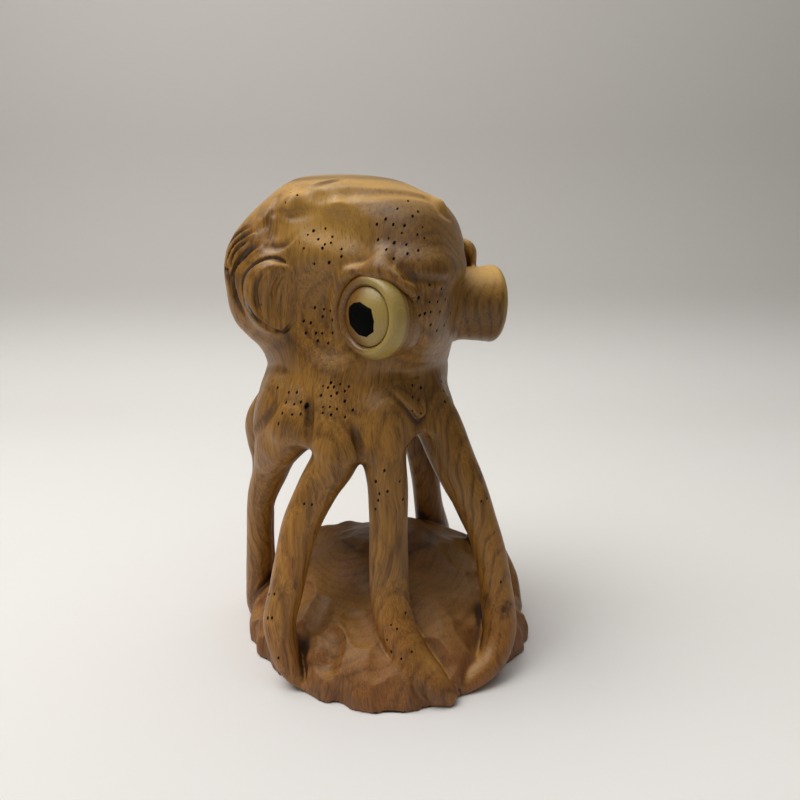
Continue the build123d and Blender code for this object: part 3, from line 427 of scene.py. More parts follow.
class Field:
    """Distances on an even grid: below zero inside the wood."""

    def __init__(self, low, high, step):
        self.low = np.array(low, dtype=float)
        self.step = step
        count = np.ceil((np.array(high) - self.low) / step).astype(int) + 1
        self.axes = [(self.low[k] + step * np.arange(count[k])).astype(np.float32) for k in range(3)]
        self.d = np.full(count, FAR, dtype=np.float32)

    def window(self, low, high):
        """Slices of the grid inside a box, and the box's X, Y and Z."""
        cuts = []
        for k in range(3):
            first = min(max(int((low[k] - self.low[k]) / self.step), 0), len(self.axes[k]))
            last = min(int((high[k] - self.low[k]) / self.step) + 2, len(self.axes[k]))
            cuts.append(slice(first, max(last, first)))
        x, y, z = (self.axes[k][cuts[k]] for k in range(3))
        return tuple(cuts), x[:, None, None], y[None, :, None], z[None, None, :]

    def merge(self, low, high, shape, blend, cut=False):
        """Adds a shape to the wood, or cuts it away, with a rounded meeting line."""
        cuts, x, y, z = self.window(np.array(low) - blend, np.array(high) + blend)
        form = shape(x, y, z).astype(np.float32)
        there = self.d[cuts]
        self.d[cuts] = smooth_max(there, -form, blend) if cut else smooth_min(there, form, blend)

    def limb(self, rows, blend, cut=False):
        """Adds or cuts a round limb that follows rows of X, Y, Z and radius."""
        rows = np.array(rows)
        reach = rows[:, 3].max() + blend + 2
        cuts, *_ = self.window(rows[:, :3].min(0) - reach, rows[:, :3].max(0) + reach)
        form = np.full([c.stop - c.start for c in cuts], FAR, dtype=np.float32)
        for a, b in zip(rows[:-1], rows[1:]):
            part, x, y, z = self.window(np.minimum(a, b)[:3] - reach, np.maximum(a, b)[:3] + reach)
            local = tuple(slice(p.start - c.start, p.stop - c.start) for p, c in zip(part, cuts))
            way = b[:3] - a[:3]
            x, y, z = x - a[0], y - a[1], z - a[2]
            t = np.clip((x * way[0] + y * way[1] + z * way[2]) / max(way @ way, 1e-6), 0, 1)
            away = (x - t * way[0]) ** 2 + (y - t * way[1]) ** 2 + (z - t * way[2]) ** 2
            form[local] = np.minimum(form[local], np.sqrt(away) - a[3] - t * (b[3] - a[3]))
        there = self.d[cuts]
        self.d[cuts] = smooth_max(there, -form, blend) if cut else smooth_min(there, form, blend)

    def relief(self, radius, rise, blend, route):
        """Raises or cuts a line on the surface that fades out at both ends."""
        length = np.linalg.norm(np.diff(np.array(route), axis=0), axis=1).sum()
        line = self.snap(curve_points(route, max(int(length / 2.0), 3)))
        out = self.slopes(line, 1.2)
        out /= np.linalg.norm(out, axis=1, keepdims=True)
        fade = np.minimum(np.linspace(0.15, 2.5, len(line)), np.linspace(2.5, 0.15, len(line)))
        height = abs(rise) * np.clip(fade, 0, 1)[:, None]
        side = 1 if rise < 0 else -1
        centre = line + side * out * (radius - height)
        self.limb(np.hstack([centre, np.full((len(line), 1), radius)]), blend, cut=rise < 0)

    def swell(self, grain, size, seed):
        """Smooth random swells of about the given grain and height, the same in every grid."""
        rng = np.random.default_rng(seed)
        weights = []
        for axis, low, high in zip(self.axes, (-80, -72, -8), (80, 72, 208)):
            place = (axis - low) / grain + 1
            i = place.astype(int)
            f = place - i
            w = np.zeros((len(axis), int((high - low) / grain) + 5), dtype=np.float32)
            rows = np.arange(len(axis))
            w[rows, i - 1] = (1 - f) ** 3 / 6
            w[rows, i] = (3 * f**3 - 6 * f**2 + 4) / 6
            w[rows, i + 1] = (-3 * f**3 + 3 * f**2 + 3 * f + 1) / 6
            w[rows, i + 2] = f**3 / 6
            weights.append(w)
        knots = rng.uniform(-1, 1, [w.shape[1] for w in weights]).astype(np.float32)
        for w in weights:
            knots = np.tensordot(knots, w, (0, 1))
        self.d += 2 * size * knots

    def surface(self, name):
        """Closed mesh of the surface where the distance is zero, in metres."""
        self.d[[0, -1]] = self.d[:, [0, -1]] = self.d[:, :, [0, -1]] = FAR
        grid = openvdb.FloatGrid(FAR)
        grid.copyFromArray(self.d)
        points, quads = grid.convertToQuads(0.0)
        return mesh_from(name, points * self.step + self.low, quads)

    def sample(self, points):
        """Distance at each point, read between the grid's corners."""
        place = (points - self.low) / self.step
        i = np.clip(place.astype(int), 0, np.array(self.d.shape) - 2)
        f = np.clip(place - i, 0, 1)
        total = 0
        for corner in np.ndindex(2, 2, 2):
            c = np.array(corner)
            total = total + np.prod(np.where(c, f, 1 - f), axis=1) * self.d[tuple((i + c).T)]
        return total

    def slopes(self, points, reach):
        """How the distance changes per millimetre at each point, along X, Y and Z."""
        shifts = reach * np.eye(3)
        ahead = [self.sample(points + s) - self.sample(points - s) for s in shifts]
        return np.stack(ahead, 1) / (2 * reach) + 1e-9

    def snap(self, points):
        """Nearest places on the surface."""
        points = np.array(points, dtype=float)
        for _ in range(8):
            slope = self.slopes(points, 0.8)
            points = points - slope * (self.sample(points) / (slope**2).sum(1).clip(0.2))[:, None]
        return points


def mesh_from(name, points, faces):
    """Mesh in metres from points in millimetres and rows of corners."""
    mesh = bpy.data.meshes.new(name)
    faces = faces.tolist() if isinstance(faces, np.ndarray) else faces
    mesh.from_pydata((np.asarray(points, dtype=float) * MM).tolist(), [], faces)
    return mesh


def along(centre, heading, x, y, z):
    """Distances out along a level heading from a centre, to its right and up."""
    x, y, z = x - centre[0], y - centre[1], z - centre[2]
    out = x * heading[0] + y * heading[1]
    return out, y * heading[0] - x * heading[1], z + 0 * out


def at(centre, heading, out, right, up):
    """Places given by distances out along a level heading, to its right and up."""
    out, right, up = (np.asarray(v, dtype=float) for v in (out, right, up))
    x = centre[0] + out * heading[0] - right * heading[1]
    y = centre[1] + out * heading[1] + right * heading[0]
    return np.stack(np.broadcast_arrays(x, y, centre[2] + up), -1)


def head_and_web(field):
    """The head and the web below it: one turned form whose outline changes with height."""
    turns = np.linspace(0, 2 * math.pi, 241)
    plan = CHEEK_PLAN + [(x, -y) for x, y in reversed(CHEEK_PLAN[1:-1])]
    levels = np.array(HEAD_LEVELS, dtype=float)
    rows = []
    for _, length, depth, _, cheek in HEAD_LEVELS:
        corners = []
        for k, (px, py) in enumerate(plan):
            a = 2 * math.pi * k / len(plan)
            x, y = math.cos(a), math.sin(a)
            corners.append(((x + cheek * (px - x)) * length, (y + cheek * (py - y)) * depth))
        loop = curve_points(corners[-3:] + corners + corners[:4], 40 * (len(corners) + 6))
        angle = np.unwrap(np.arctan2(loop[:, 1], loop[:, 0]))
        rows.append(np.interp(turns, angle, np.hypot(loop[:, 0], loop[:, 1])))
    rows = np.array(rows)
    z = field.axes[2].astype(float)
    inside = np.nonzero((z >= levels[0, 0]) & (z <= levels[-1, 0]))[0]
    heights = z[inside]
    outline = np.stack([steady_curve(levels[:, 0], rows[:, k], heights) for k in range(len(turns))], 1)
    lean = np.gradient(outline, heights, axis=0)
    middle = steady_curve(levels[:, 0], levels[:, 3], heights)
    x = field.axes[0][:, None].astype(float)
    y = field.axes[1][None, :].astype(float)
    lobes = np.array([(math.radians(turn % 360), low) for turn, low in WEB_LOBES])
    lobes = lobes[np.argsort(lobes[:, 0])]
    from_front = np.mod(np.arctan2(x - WEB_AXIS[0], WEB_AXIS[1] - y), 2 * math.pi)
    lows = np.interp(from_front, lobes[:, 0], lobes[:, 1], period=2 * math.pi)
    for row, k in enumerate(inside):
        dx = x - middle[row]
        angle = np.mod(np.arctan2(y, dx), 2 * math.pi)
        slope = np.interp(angle, turns, lean[row])
        dist = (np.hypot(dx, y) - np.interp(angle, turns, outline[row])) / np.sqrt(1 + slope * slope)
        field.d[:, :, k] = smooth_max(dist, lows - z[k], WEB_EDGE_BLEND)
    above = z > levels[-1, 0]
    if above.any():
        top = field.d[:, :, inside[-1]][:, :, None]
        field.d[:, :, above] = np.maximum(top + (z[above] - levels[-1, 0]), 0.3)


def siphon(field):
    """Flared tube with a rounded lip and a shallow cup."""

    def tube(x, y, z):
        out, side, up = along(SIPHON_MOUTH, SIPHON_HEADING, x, y, z)
        wall = np.hypot(side, up) - np.interp(out, *zip(*SIPHON_FLARE))
        dist = np.minimum(np.maximum(wall, out) + SIPHON_LIP, 0) - SIPHON_LIP
        dist = dist + np.hypot(np.maximum(wall + SIPHON_LIP, 0), np.maximum(out + SIPHON_LIP, 0))
        return np.maximum(dist, -SIPHON_LENGTH - out)

    def cup(x, y, z):
        out, side, up = along(SIPHON_MOUTH, SIPHON_HEADING, x, y, z)
        return np.sqrt((out - 1.5) ** 2 * 1.6 + side * side + up * up) - 9.5

    def root(x, y, z):
        out, side, up = along(SIPHON_MOUTH, SIPHON_HEADING, x, y, z)
        return np.hypot(np.hypot(side, up) - 19.0, out + 14.5) - 6.0

    field.merge(SIPHON_MOUTH - (34, 34, 30), SIPHON_MOUTH + (6, 34, 30), root, 3.0, cut=True)
    field.merge(SIPHON_MOUTH - (44, 30, 20), SIPHON_MOUTH + (6, 20, 20), tube, 4.0)
    field.merge(SIPHON_MOUTH - 12, SIPHON_MOUTH + 12, cup, 3.0, cut=True)


def eye_bed(field, side):
    """Dish that an eye ring lies in, and the lid round its upper edge."""
    centre, heading = EYE_FRONT * (1, side, 1), EYE_HEADING * (1, side, 1)

    def dish(x, y, z):
        out, right, up = along(centre, heading, x, y, z)
        away = np.maximum(np.hypot(right, up) - EYE_RING_RADIUS, 0)
        return 0.25 * away + 0.04 * away**2 - 2.0 - out

    field.merge(centre - 44, centre + 44, dish, 3.0, cut=True)
    turn, out, radius = curve_points(EYE_LID, 40).T
    turn = np.radians(turn)
    away = EYE_RING_RADIUS + 1.7
    line = at(EYE_FRONT, EYE_HEADING, out, away * np.cos(turn), away * np.sin(turn)) * (1, side, 1)
    field.limb(np.hstack([line, radius[:, None]]), 1.5)


def coil(field):
    """Oval boss at the head's left end."""

    def boss(x, y, z):
        out, side, up = along(COIL_CENTRE, COIL_HEADING, x, y, z)
        depth, half, tall = COIL_HALF
        return (np.sqrt((out / depth) ** 2 + (side / half) ** 2 + (up / tall) ** 2) - 1) * depth

    field.merge(COIL_CENTRE - 18, COIL_CENTRE + 18, boss, 3.0)


def flap_plan(side, up, grow):
    """Distance to the rounded triangle of the web's flap."""
    dist = None
    for (ax, ay), (bx, by) in zip(FLAP_CORNERS, FLAP_CORNERS[1:] + FLAP_CORNERS[:1]):
        length = math.hypot(bx - ax, by - ay)
        edge = ((side - ax) * (by - ay) - (up - ay) * (bx - ax)) / length
        dist = edge if dist is None else smooth_max(dist, edge, 3.0)
    return dist - grow


def flap(field):
    """Pointed skin flap: the web's own surface raised inside a rounded triangle, most at its tip."""
    cuts, x, y, z = field.window(FLAP_CENTRE - 18, FLAP_CENTRE + 18)
    out, side, up = along(FLAP_CENTRE, FLAP_HEADING, x, y, z)
    there = field.d[cuts]
    rise = np.interp(up, [-9, 0, 8], [2.6, 1.6, 0.3]) + 1.3 * np.exp(-(((side - 6) / 1.6) ** 2))
    raised = smooth_max(there - rise, flap_plan(side, up, 0.0), 1.6)
    field.d[cuts] = np.where(out > -8, smooth_min(there, raised, 0.8), there).astype(np.float32)


def rock_levels(field):
    """The rock's mound before the gouge cuts."""
    turns = np.radians(np.arange(0, 361, 10))
    rim = np.array(ROCK_RIM + ROCK_RIM[:1], dtype=float)
    fine = np.linspace(0, 2 * math.pi, 361)
    rim = np.interp(fine, turns, rim)
    levels = np.array(ROCK_LEVELS, dtype=float)
    z = field.axes[2].astype(float)
    x = field.axes[0][:, None].astype(float)
    y = field.axes[1][None, :].astype(float)
    share = steady_curve(levels[:, 0], levels[:, 1], np.clip(z, ROCK_LOW, ROCK_TOP))
    shift = steady_curve(levels[:, 0], levels[:, 2], np.clip(z, ROCK_LOW, ROCK_TOP))
    lean = np.gradient(share * ROCK_MEAN_RIM, z)
    for k in np.nonzero((z >= ROCK_LOW) & (z < ROCK_TOP))[0]:
        dy = y - shift[k]
        angle = np.mod(np.arctan2(dy, x), 2 * math.pi)
        dist = np.hypot(x, dy) - share[k] * np.interp(angle, fine, rim)
        field.d[:, :, k] = dist / math.sqrt(1 + lean[k] ** 2)
    top = np.nonzero(z < ROCK_TOP)[0][-1]
    for k in np.nonzero(z >= ROCK_TOP)[0]:
        field.d[:, :, k] = np.minimum(field.d[:, :, top] + (z[k] - ROCK_TOP), FAR)


def gouge_rock(field):
    """Strokes of a wide gouge on the rock, after its broad hollows, with crisp ridges between them."""
    rng = np.random.default_rng(11)
    for place, size, depth in ROCK_HOLLOWS:
        scoop(field, place, size, depth, 0.1, 0.0, 3.0)
    for rows in ROCK_CORNERS:
        field.limb(rows, 6.0)
    levels, shares, shifts = zip(*ROCK_LEVELS)
    for row, (height, count, size, depth, half, most) in enumerate(GOUGE_ROWS):
        share, shift = (np.interp(height, levels, values) for values in (shares, shifts))
        for k in range(count):
            turn = 2 * math.pi * (k + 0.5 * (row % 2) + rng.uniform(-0.25, 0.25)) / count
            reach = GOUGE_REACH * share
            place = (reach * math.cos(turn), reach * math.sin(turn) + shift, height + rng.uniform(-2, 2))
            size_now, depth_now = size * rng.uniform(0.7, 1.3), depth * rng.uniform(0.7, 1.3)
            scoop(field, place, size_now, depth_now, half, rng.uniform(-most, most), 0.3)


def scoop(field, place, radius, depth, half, turn, blend):
    """One stroke of a gouge: a round channel that runs downhill, turned by an angle."""
    place = field.snap([place])
    out = field.slopes(place, 2.0)[0]
    out /= np.linalg.norm(out)
    across = np.cross(out, (0, 0, 1))
    across /= max(np.linalg.norm(across), 1e-6)
    way = half * (math.cos(turn) * np.cross(across, out) + math.sin(turn) * across)
    centre = place[0] + out * (radius - depth)
    field.limb([(*(centre - way), radius), (*(centre + way), radius)], blend, cut=True)


@functools.lru_cache(maxsize=4)
def carving(part, step):
    """Field and surface of the upper or the lower half of the carving."""
    field = Field(*(UPPER_ROOM if part == "upper" else LOWER_ROOM), step)
    head_and_web(field)
    for rows in ARMS.values():
        field.limb(curve_points(rows, 60), ARM_BLEND)
    field.relief(*WEB_HOLLOW)
    if part == "upper":
        field.limb(KNOB, KNOB_BLEND)
        siphon(field)
        coil(field)
        for side in (1, -1):
            eye_bed(field, side)
        for radius, rise, blend, both, route in RELIEF:
            field.relief(radius, rise, blend, route)
            if both:
                field.relief(radius, rise, blend, [(x, -y, z) for x, y, z in route])
    else:
        field.limb(ARM_SKIN, SKIN_BLEND)
        for fold in WEB_FOLDS:
            field.relief(*fold)
        flap(field)
        rock = Field(*LOWER_ROOM, step)
        rock_levels(rock)
        gouge_rock(rock)
        for swell in ROCK_SWELLS:
            rock.swell(*swell)
        field.d = smooth_min(field.d, rock.d, ROCK_BLEND)
    for swell in SKIN_SWELLS:
        field.swell(*swell)
    if part == "lower":
        below = -field.axes[2][None, None, :]
        field.d = np.maximum(field.d, below).astype(np.float32)
    return field, field.surface(part)


def solid_between(rings):
    """Closed mesh over rows of points, each row a ring with the same number of corners."""
    count = len(rings[0])
    faces = [tuple(reversed(range(count)))]
    for k in range(len(rings) - 1):
        a, b = k * count, (k + 1) * count
        faces += [(a + i, a + (i + 1) % count, b + (i + 1) % count, b + i) for i in range(count)]
    faces.append(tuple(range((len(rings) - 1) * count, len(rings) * count)))
    return mesh_from("tool", np.vstack(rings), faces)


def block(low, high):
    """Closed box between two heights, wide enough for the whole carving."""
    corners = np.array([(-90, -90), (90, -90), (90, 90), (-90, 90)], dtype=float)
    return solid_between([np.hstack([corners, np.full((4, 1), h)]) for h in (low, high)])


def turned(centre, heading, profile, sides=72, stretch=(1.0, 1.0)):
    """Closed solid turned about a level heading from rows of distance out and radius."""
    angle = np.linspace(0, 2 * math.pi, sides, endpoint=False)
    rings = []
    for out, radius in profile:
        right, up = radius * stretch[0] * np.cos(angle), radius * stretch[1] * np.sin(angle)
        rings.append(at(centre, heading, out, right, up))
    return solid_between(rings)


def arm_sleeve(rows):
    """Closed sleeve round an arm below its root, a little wider than the arm."""
    line = curve_points(rows, 120)
    first = int(np.argmax(line[:, 2] <= ROOT_HEIGHT))
    line = line[first::3]
    line[0, 2] = ROOT_HEIGHT
    ways = np.gradient(line[:, :3], axis=0)
    ways[0] = ways[1] * (0, 0, 1)
    tip = line[-1].copy()
    tip[:3] += ways[-1] / np.linalg.norm(ways[-1]) * (tip[3] + 2.5)
    line, ways = np.vstack([line, tip]), np.vstack([ways, ways[-1]])
    across = np.array([1.0, 0.0, 0.0])
    angle = np.linspace(0, 2 * math.pi, 28, endpoint=False)[:, None]
    rings = []
    for (x, y, z, radius), way in zip(line, ways):
        way = way / np.linalg.norm(way)
        across = across - way * (across @ way)
        across /= np.linalg.norm(across)
        over = np.cross(way, across)
        size = radius + np.interp(z, *zip(*SLEEVE_ROOM))
        rings.append(np.array([x, y, z]) + size * (np.cos(angle) * across + np.sin(angle) * over))
    return solid_between(rings)


def dot_cones(field, dots, width, depth):
    """Closed cones that punch dots into the surface."""
    places = field.snap(dots)
    out = field.slopes(places, 1.0)
    out /= np.linalg.norm(out, axis=1, keepdims=True)
    rng = np.random.default_rng(3)
    points, faces = [], []
    angle = np.linspace(0, 2 * math.pi, 10, endpoint=False)[:, None]
    for place, way in zip(places, out):
        across = np.cross(way, (0.3, 0.2, 1.0))
        across /= np.linalg.norm(across)
        over = np.cross(way, across)
        size = width / 2 * rng.uniform(0.75, 1.15)
        oval = np.cos(angle) * across * 0.8 + np.sin(angle) * over * 1.15
        ring = place + way * 0.6 + 1.35 * size * oval
        first = len(points)
        points += list(ring) + [place - way * depth * rng.uniform(0.8, 1.1)]
        faces.append(tuple(range(first, first + 10)))
        faces += [(first + (k + 1) % 10, first + k, first + 10) for k in range(10)]
    return mesh_from("dots", np.array(points), faces)


def sawn(mesh, *cuts):
    """New mesh: a copy of one with others kept in common or taken away, in order."""
    base = bpy.data.objects.new("sawn", mesh)
    bpy.context.scene.collection.objects.link(base)
    tools = []
    for operation, tool_mesh in cuts:
        tool = bpy.data.objects.new("tool", tool_mesh)
        bpy.context.scene.collection.objects.link(tool)
        tools.append(tool)
        saw = base.modifiers.new("saw", "BOOLEAN")
        saw.operation, saw.solver, saw.object = operation, "MANIFOLD", tool
    bpy.context.view_layer.update()
    result = bpy.data.meshes.new_from_object(base.evaluated_get(bpy.context.evaluated_depsgraph_get()))
    for obj in [base, *tools]:
        bpy.data.objects.remove(obj)
    if not result.polygons:
        raise RuntimeError("a cut left no wood")
    return result


def read(items, name, width):
    """Values of a mesh list as an array with one row each."""
    values = np.empty(len(items) * width, dtype=np.float64 if width > 1 else np.int64)
    items.foreach_get(name, values)
    return values.reshape(-1, width) if width > 1 else values


def dress(name, mesh, materials, field=None):
    """Makes a piece of a mesh that stands for the CAD node of the same name."""
    mesh.materials.clear()
    for material in materials:
        mesh.materials.append(material)
    if field is not None:
        shade_from_field(mesh, field)
    obj = bpy.data.objects.new("carved_" + name, mesh)
    bpy.context.scene.collection.objects.link(obj)
    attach(obj, "root")
    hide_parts(name)
    return obj


def shade_from_field(mesh, field):
    """Smooth normals from the field on the skin, dark cut wood with painted pit shade on cut faces, and
    hollows and edges.
    """
    points = read(mesh.vertices, "co", 3) / MM
    slope = field.slopes(points, 0.7)
    steep = np.linalg.norm(slope, axis=1, keepdims=True)
    out = slope / steep
    middles, facing = read(mesh.polygons, "center", 3), read(mesh.polygons, "normal", 3)
    inner = field.sample(middles / MM) < -0.15
    inner |= (facing[:, 2] < -0.99) & (middles[:, 2] < 2e-5)
    mesh.polygons.foreach_set("material_index", inner.astype(np.int32))
    mesh.polygons.foreach_set("use_smooth", np.ones(len(inner), dtype=bool))
    faces = np.repeat(np.arange(len(inner)), read(mesh.polygons, "loop_total", 1))
    corners = read(mesh.loops, "vertex_index", 1)
    normals = np.where(inner[faces, None], facing[faces], out[corners])
    mesh.normals_split_custom_set(normals.tolist())
    for name, reach, sign in (("hollow", 2.5, 1), ("edge", 1.8, -1)):
        far = field.sample(points + sign * reach * out)
        value = np.clip(1 - sign * far / (reach * steep[:, 0]), 0, 1)
        mesh.attributes.new(name, "FLOAT", "POINT").data.foreach_set("value", value.astype(np.float32))


def add(tree, kind, inputs=None, stops=None, **settings):
    """Adds a node with its settings, and its inputs as values or links."""
    node = tree.nodes.new("ShaderNode" + kind)
    for key, value in settings.items():
        setattr(node, key, value)
    for key, value in (inputs or {}).items():
        if isinstance(value, bpy.types.NodeSocket):
            tree.links.new(value, node.inputs[key])
        else:
            node.inputs[key].default_value = value
    for k, (place, value) in enumerate(stops or []):
        element = node.color_ramp.elements[k] if k < 2 else node.color_ramp.elements.new(place)
        element.position, element.color = place, (value, value, value, 1)
    return node


def maths(tree, operation, *values):
    """Result of a sum on numbers."""
    return add(tree, "Math", dict(enumerate(values)), operation=operation).outputs[0]


def vectors(tree, operation, *values):
    """Result of a sum on places."""
    return add(tree, "VectorMath", dict(enumerate(values)), operation=operation).outputs[0]


def scaled(tree, vector, size):
    """A place or a colour times a number."""
    return add(tree, "VectorMath", {0: vector, "Scale": size}, operation="SCALE").outputs[0]


def mixed(tree, share, first, second, how="MIX"):
    """Two colours mixed by a share."""
    inputs = {0: share, 6: first, 7: second}
    return add(tree, "Mix", inputs, data_type="RGBA", blend_type=how).outputs[2]


def mapped(tree, value, low, high, first=0.0, last=1.0, how="LINEAR"):
    """A value's place between two limits, as a number between two others."""
    inputs = {0: value, 1: low, 2: high, 3: first, 4: last}
    return add(tree, "MapRange", inputs, interpolation_type=how).outputs[0]


def noise(tree, place, scale, detail):
    """Soft random values at a place."""
    return add(tree, "TexNoise", {"Vector": place, "Scale": scale, "Detail": detail}).outputs[0]


def ramp(tree, value, stops):
    """Grey of a ramp with the given stops."""
    return add(tree, "ValToRGB", {0: value}, stops).outputs[0]


def millimetres(tree):
    """Place on the piece in millimetres."""
    return scaled(tree, add(tree, "TexCoord").outputs["Object"], 1 / MM)


def new_material(name):
    """Empty node material with its shader."""
    material = bpy.data.materials.get(name)
    if material:
        return material, None, None
    material = bpy.data.materials.new(name)
    material.use_nodes = True
    tree = material.node_tree
    return material, tree, tree.nodes["Principled BSDF"]


def carved_wood(
    name, light, dark, settings, rough=0.36, reddish=0.5, painted_top_light=0.7, mottle=0.3, pale_end=False
):
    """Waxed carved hardwood: growth rings round an upright pith, fibres, pores and painted shade in hollows.

    To the eye: satin sheen, streaks that run up the arms, ovals where the surface turns across
    the log, painted shade in hollows, painted highlights on edges and painted light on faces that look up.
    """
    material, tree, shader = new_material(name)
    if tree is None:
        return material
    mm = millimetres(tree)
    wander = add(tree, "TexNoise", {"Vector": mm, "Scale": 0.02, "Detail": 2.0}).outputs["Color"]
    bent = vectors(tree, "MULTIPLY_ADD", wander, (22, 22, 10), mm)
    level = add(tree, "VectorMath", {0: bent, 1: (1, 1, 0.05), 2: (-1, -16, -8)}, operation="MULTIPLY_ADD")
    radius = add(tree, "VectorMath", {0: level.outputs[0]}, operation="LENGTH").outputs["Value"]
    rings = maths(tree, "DIVIDE", radius, settings.ring_width / MM)
    ring = maths(tree, "FRACT", rings)
    early = ramp(tree, ring, [(0, 0.45), (1, 0.4), (0.15, 1.0), (0.6, 0.75), (0.9, 0.12)])
    upright = vectors(tree, "MULTIPLY", bent, (1, 1, 0.045))
    fibre = add(tree, "TexNoise", {"Vector": upright, "Scale": 0.75, "Detail": 4.0, "Roughness": 0.65})
    streak = ramp(tree, fibre.outputs[0], [(0.36, 0.0), (0.62, 1.0)])
    pore = noise(tree, upright, 3.0, 1.0)
    pores = ramp(tree, pore, [(0.30, 1.0), (0.40, 0.0)])
    patch = noise(tree, bent, 0.03, 3.0)
    patches = ramp(tree, patch, [(0.36, 0.0), (0.66, 1.0)])
    across, _, height = add(tree, "SeparateXYZ", {0: mm}).outputs
    bands = mapped(tree, across, 28.0, 38.0, 0.45, 0.85)
    share = maths(tree, "MULTIPLY", early, bands)
    share = maths(tree, "MULTIPLY_ADD", streak, 0.5, share)
    share = maths(tree, "MULTIPLY_ADD", patches, mottle, share)
    tone = mixed(tree, share, dark, light)
    upright = vectors(tree, "MULTIPLY", bent, (1, 1, 0.015))
    hair = noise(tree, upright, 1.5, 2.0)
    hairs = mapped(tree, hair, 0.3, 0.7, 0.8, 1.2)
    tone = scaled(tree, tone, hairs)
    # Painted shade darker towards the right, as if the lamp stood on the left, and painted light lighter
    # towards the bottom, as if lit from the floor.
    painted_light_gradient = mapped(tree, across, -45.0, 25.0, 1.08, 0.78)
    lower = mapped(tree, height, 110.0, 30.0, 0.96, 1.16)
    painted_light_gradient = maths(tree, "MULTIPLY", painted_light_gradient, lower)
    tone = scaled(tree, tone, painted_light_gradient)
    low = mapped(tree, height, 130.0, 30.0, 0.0, reddish)
    red = maths(tree, "MULTIPLY", patches, low)
    warm = mixed(tree, red, tone, RED_TINT, "MULTIPLY")
    # Painted light: faces that look up are mixed towards the pale tone, as if lit from above.
    up = add(tree, "SeparateXYZ", {0: add(tree, "NewGeometry").outputs["Normal"]}).outputs[2]
    lit = mapped(tree, up, 0.45, 0.95, last=painted_top_light, how="SMOOTHSTEP")
    tone = mixed(tree, lit, warm, settings.pale_tone_and_painted_light)
    if pale_end:
        ends = add(tree, "VectorMath", {0: mm, 1: tuple(SIPHON_HEADING)}, operation="DOT_PRODUCT").outputs[1]
        end = float(SIPHON_MOUTH @ SIPHON_HEADING)
        pale = mapped(tree, ends, end - 3.0, end - 1.2, how="SMOOTHSTEP")
        high = mapped(tree, height, 124.0, 128.0)
        pale = maths(tree, "MULTIPLY", pale, high)
        foot = mapped(tree, height, 36.0, 12.0)
        tone = mixed(tree, foot, tone, FOOT_TINT, "MULTIPLY")
        # A pale knot on the crown as its own colour, and painted highlights on the siphon's top and the
        # forehead's left.
        for place, size, strength in PALE_KNOT_AND_PAINTED_HIGHLIGHTS:
            away = add(tree, "VectorMath", {0: mm, 1: place}, operation="DISTANCE").outputs[1]
            spot = mapped(tree, away, size, 0.3 * size, last=strength)
            tone = mixed(tree, spot, tone, settings.pale_tone_and_painted_light)
        tone = mixed(tree, pale, tone, settings.sapwood)
        # Dark knots of the right front arm as their own colour, and painted shade on the forehead, siphon and
        # web.
        for spot, size, strength in KNOTS_AND_PAINTED_SHADE:
            away = add(tree, "VectorMath", {0: mm, 1: spot}, operation="DISTANCE").outputs[1]
            away = maths(tree, "MULTIPLY_ADD", streak, 3.0, away)
            knot_and_painted_shade = mapped(tree, away, size, size / 3, last=strength)
            tone = mixed(tree, knot_and_painted_shade, tone, settings.patina_and_painted_shade)
    # Painted shade: hollows darkened towards the dark brown.
    hollow = add(tree, "Attribute", attribute_name="hollow").outputs["Fac"]
    painted_hollow_shade = ramp(tree, hollow, [(0.06, 0.0), (0.55, 0.8)])
    tone = mixed(tree, painted_hollow_shade, tone, settings.patina_and_painted_shade)
    # Painted highlight: convex edges lightened towards the wood's light tone.
    edge = add(tree, "Attribute", attribute_name="edge").outputs["Fac"]
    painted_edge_highlight = ramp(tree, edge, [(0.25, 0.0), (0.9, 0.5)])
    tone = mixed(tree, painted_edge_highlight, tone, light)
    thin = maths(tree, "MULTIPLY", pores, 0.4)
    tone = mixed(tree, thin, tone, settings.patina_and_painted_shade)
    gloss = mapped(tree, patch, 0.3, 0.7, rough - 0.06, rough + 0.1)
    cutting = noise(tree, mm, 0.16, 3.0)
    relief = maths(tree, "MULTIPLY_ADD", pores, -0.5, cutting)
    relief = maths(tree, "MULTIPLY_ADD", streak, 0.2, relief)
    bump = add(tree, "Bump", {"Height": relief, "Strength": 0.35, "Distance": 0.35 * MM}).outputs[0]
    tree.links.new(tone, shader.inputs["Base Color"])
    tree.links.new(gloss, shader.inputs["Roughness"])
    tree.links.new(bump, shader.inputs["Normal"])
    shader.inputs["Specular IOR Level"].default_value = 0.36
    return material


def cut_wood_and_pit_shade(settings):
    """Cut end grain inside dots and joints: dark, dry and rough; in the dots the darkness is painted shade of
    the pits.
    """
    material, tree, shader = new_material("cut_hardwood_and_pit_shade")
    if tree is None:
        return material
    mm = millimetres(tree)
    speck = noise(tree, mm, 1.2, 3.0)
    tone = mixed(tree, speck, linear("#1E1108"), settings.patina_and_painted_shade)
    tree.links.new(tone, shader.inputs["Base Color"])
    shader.inputs["Roughness"].default_value = 0.85
    return material


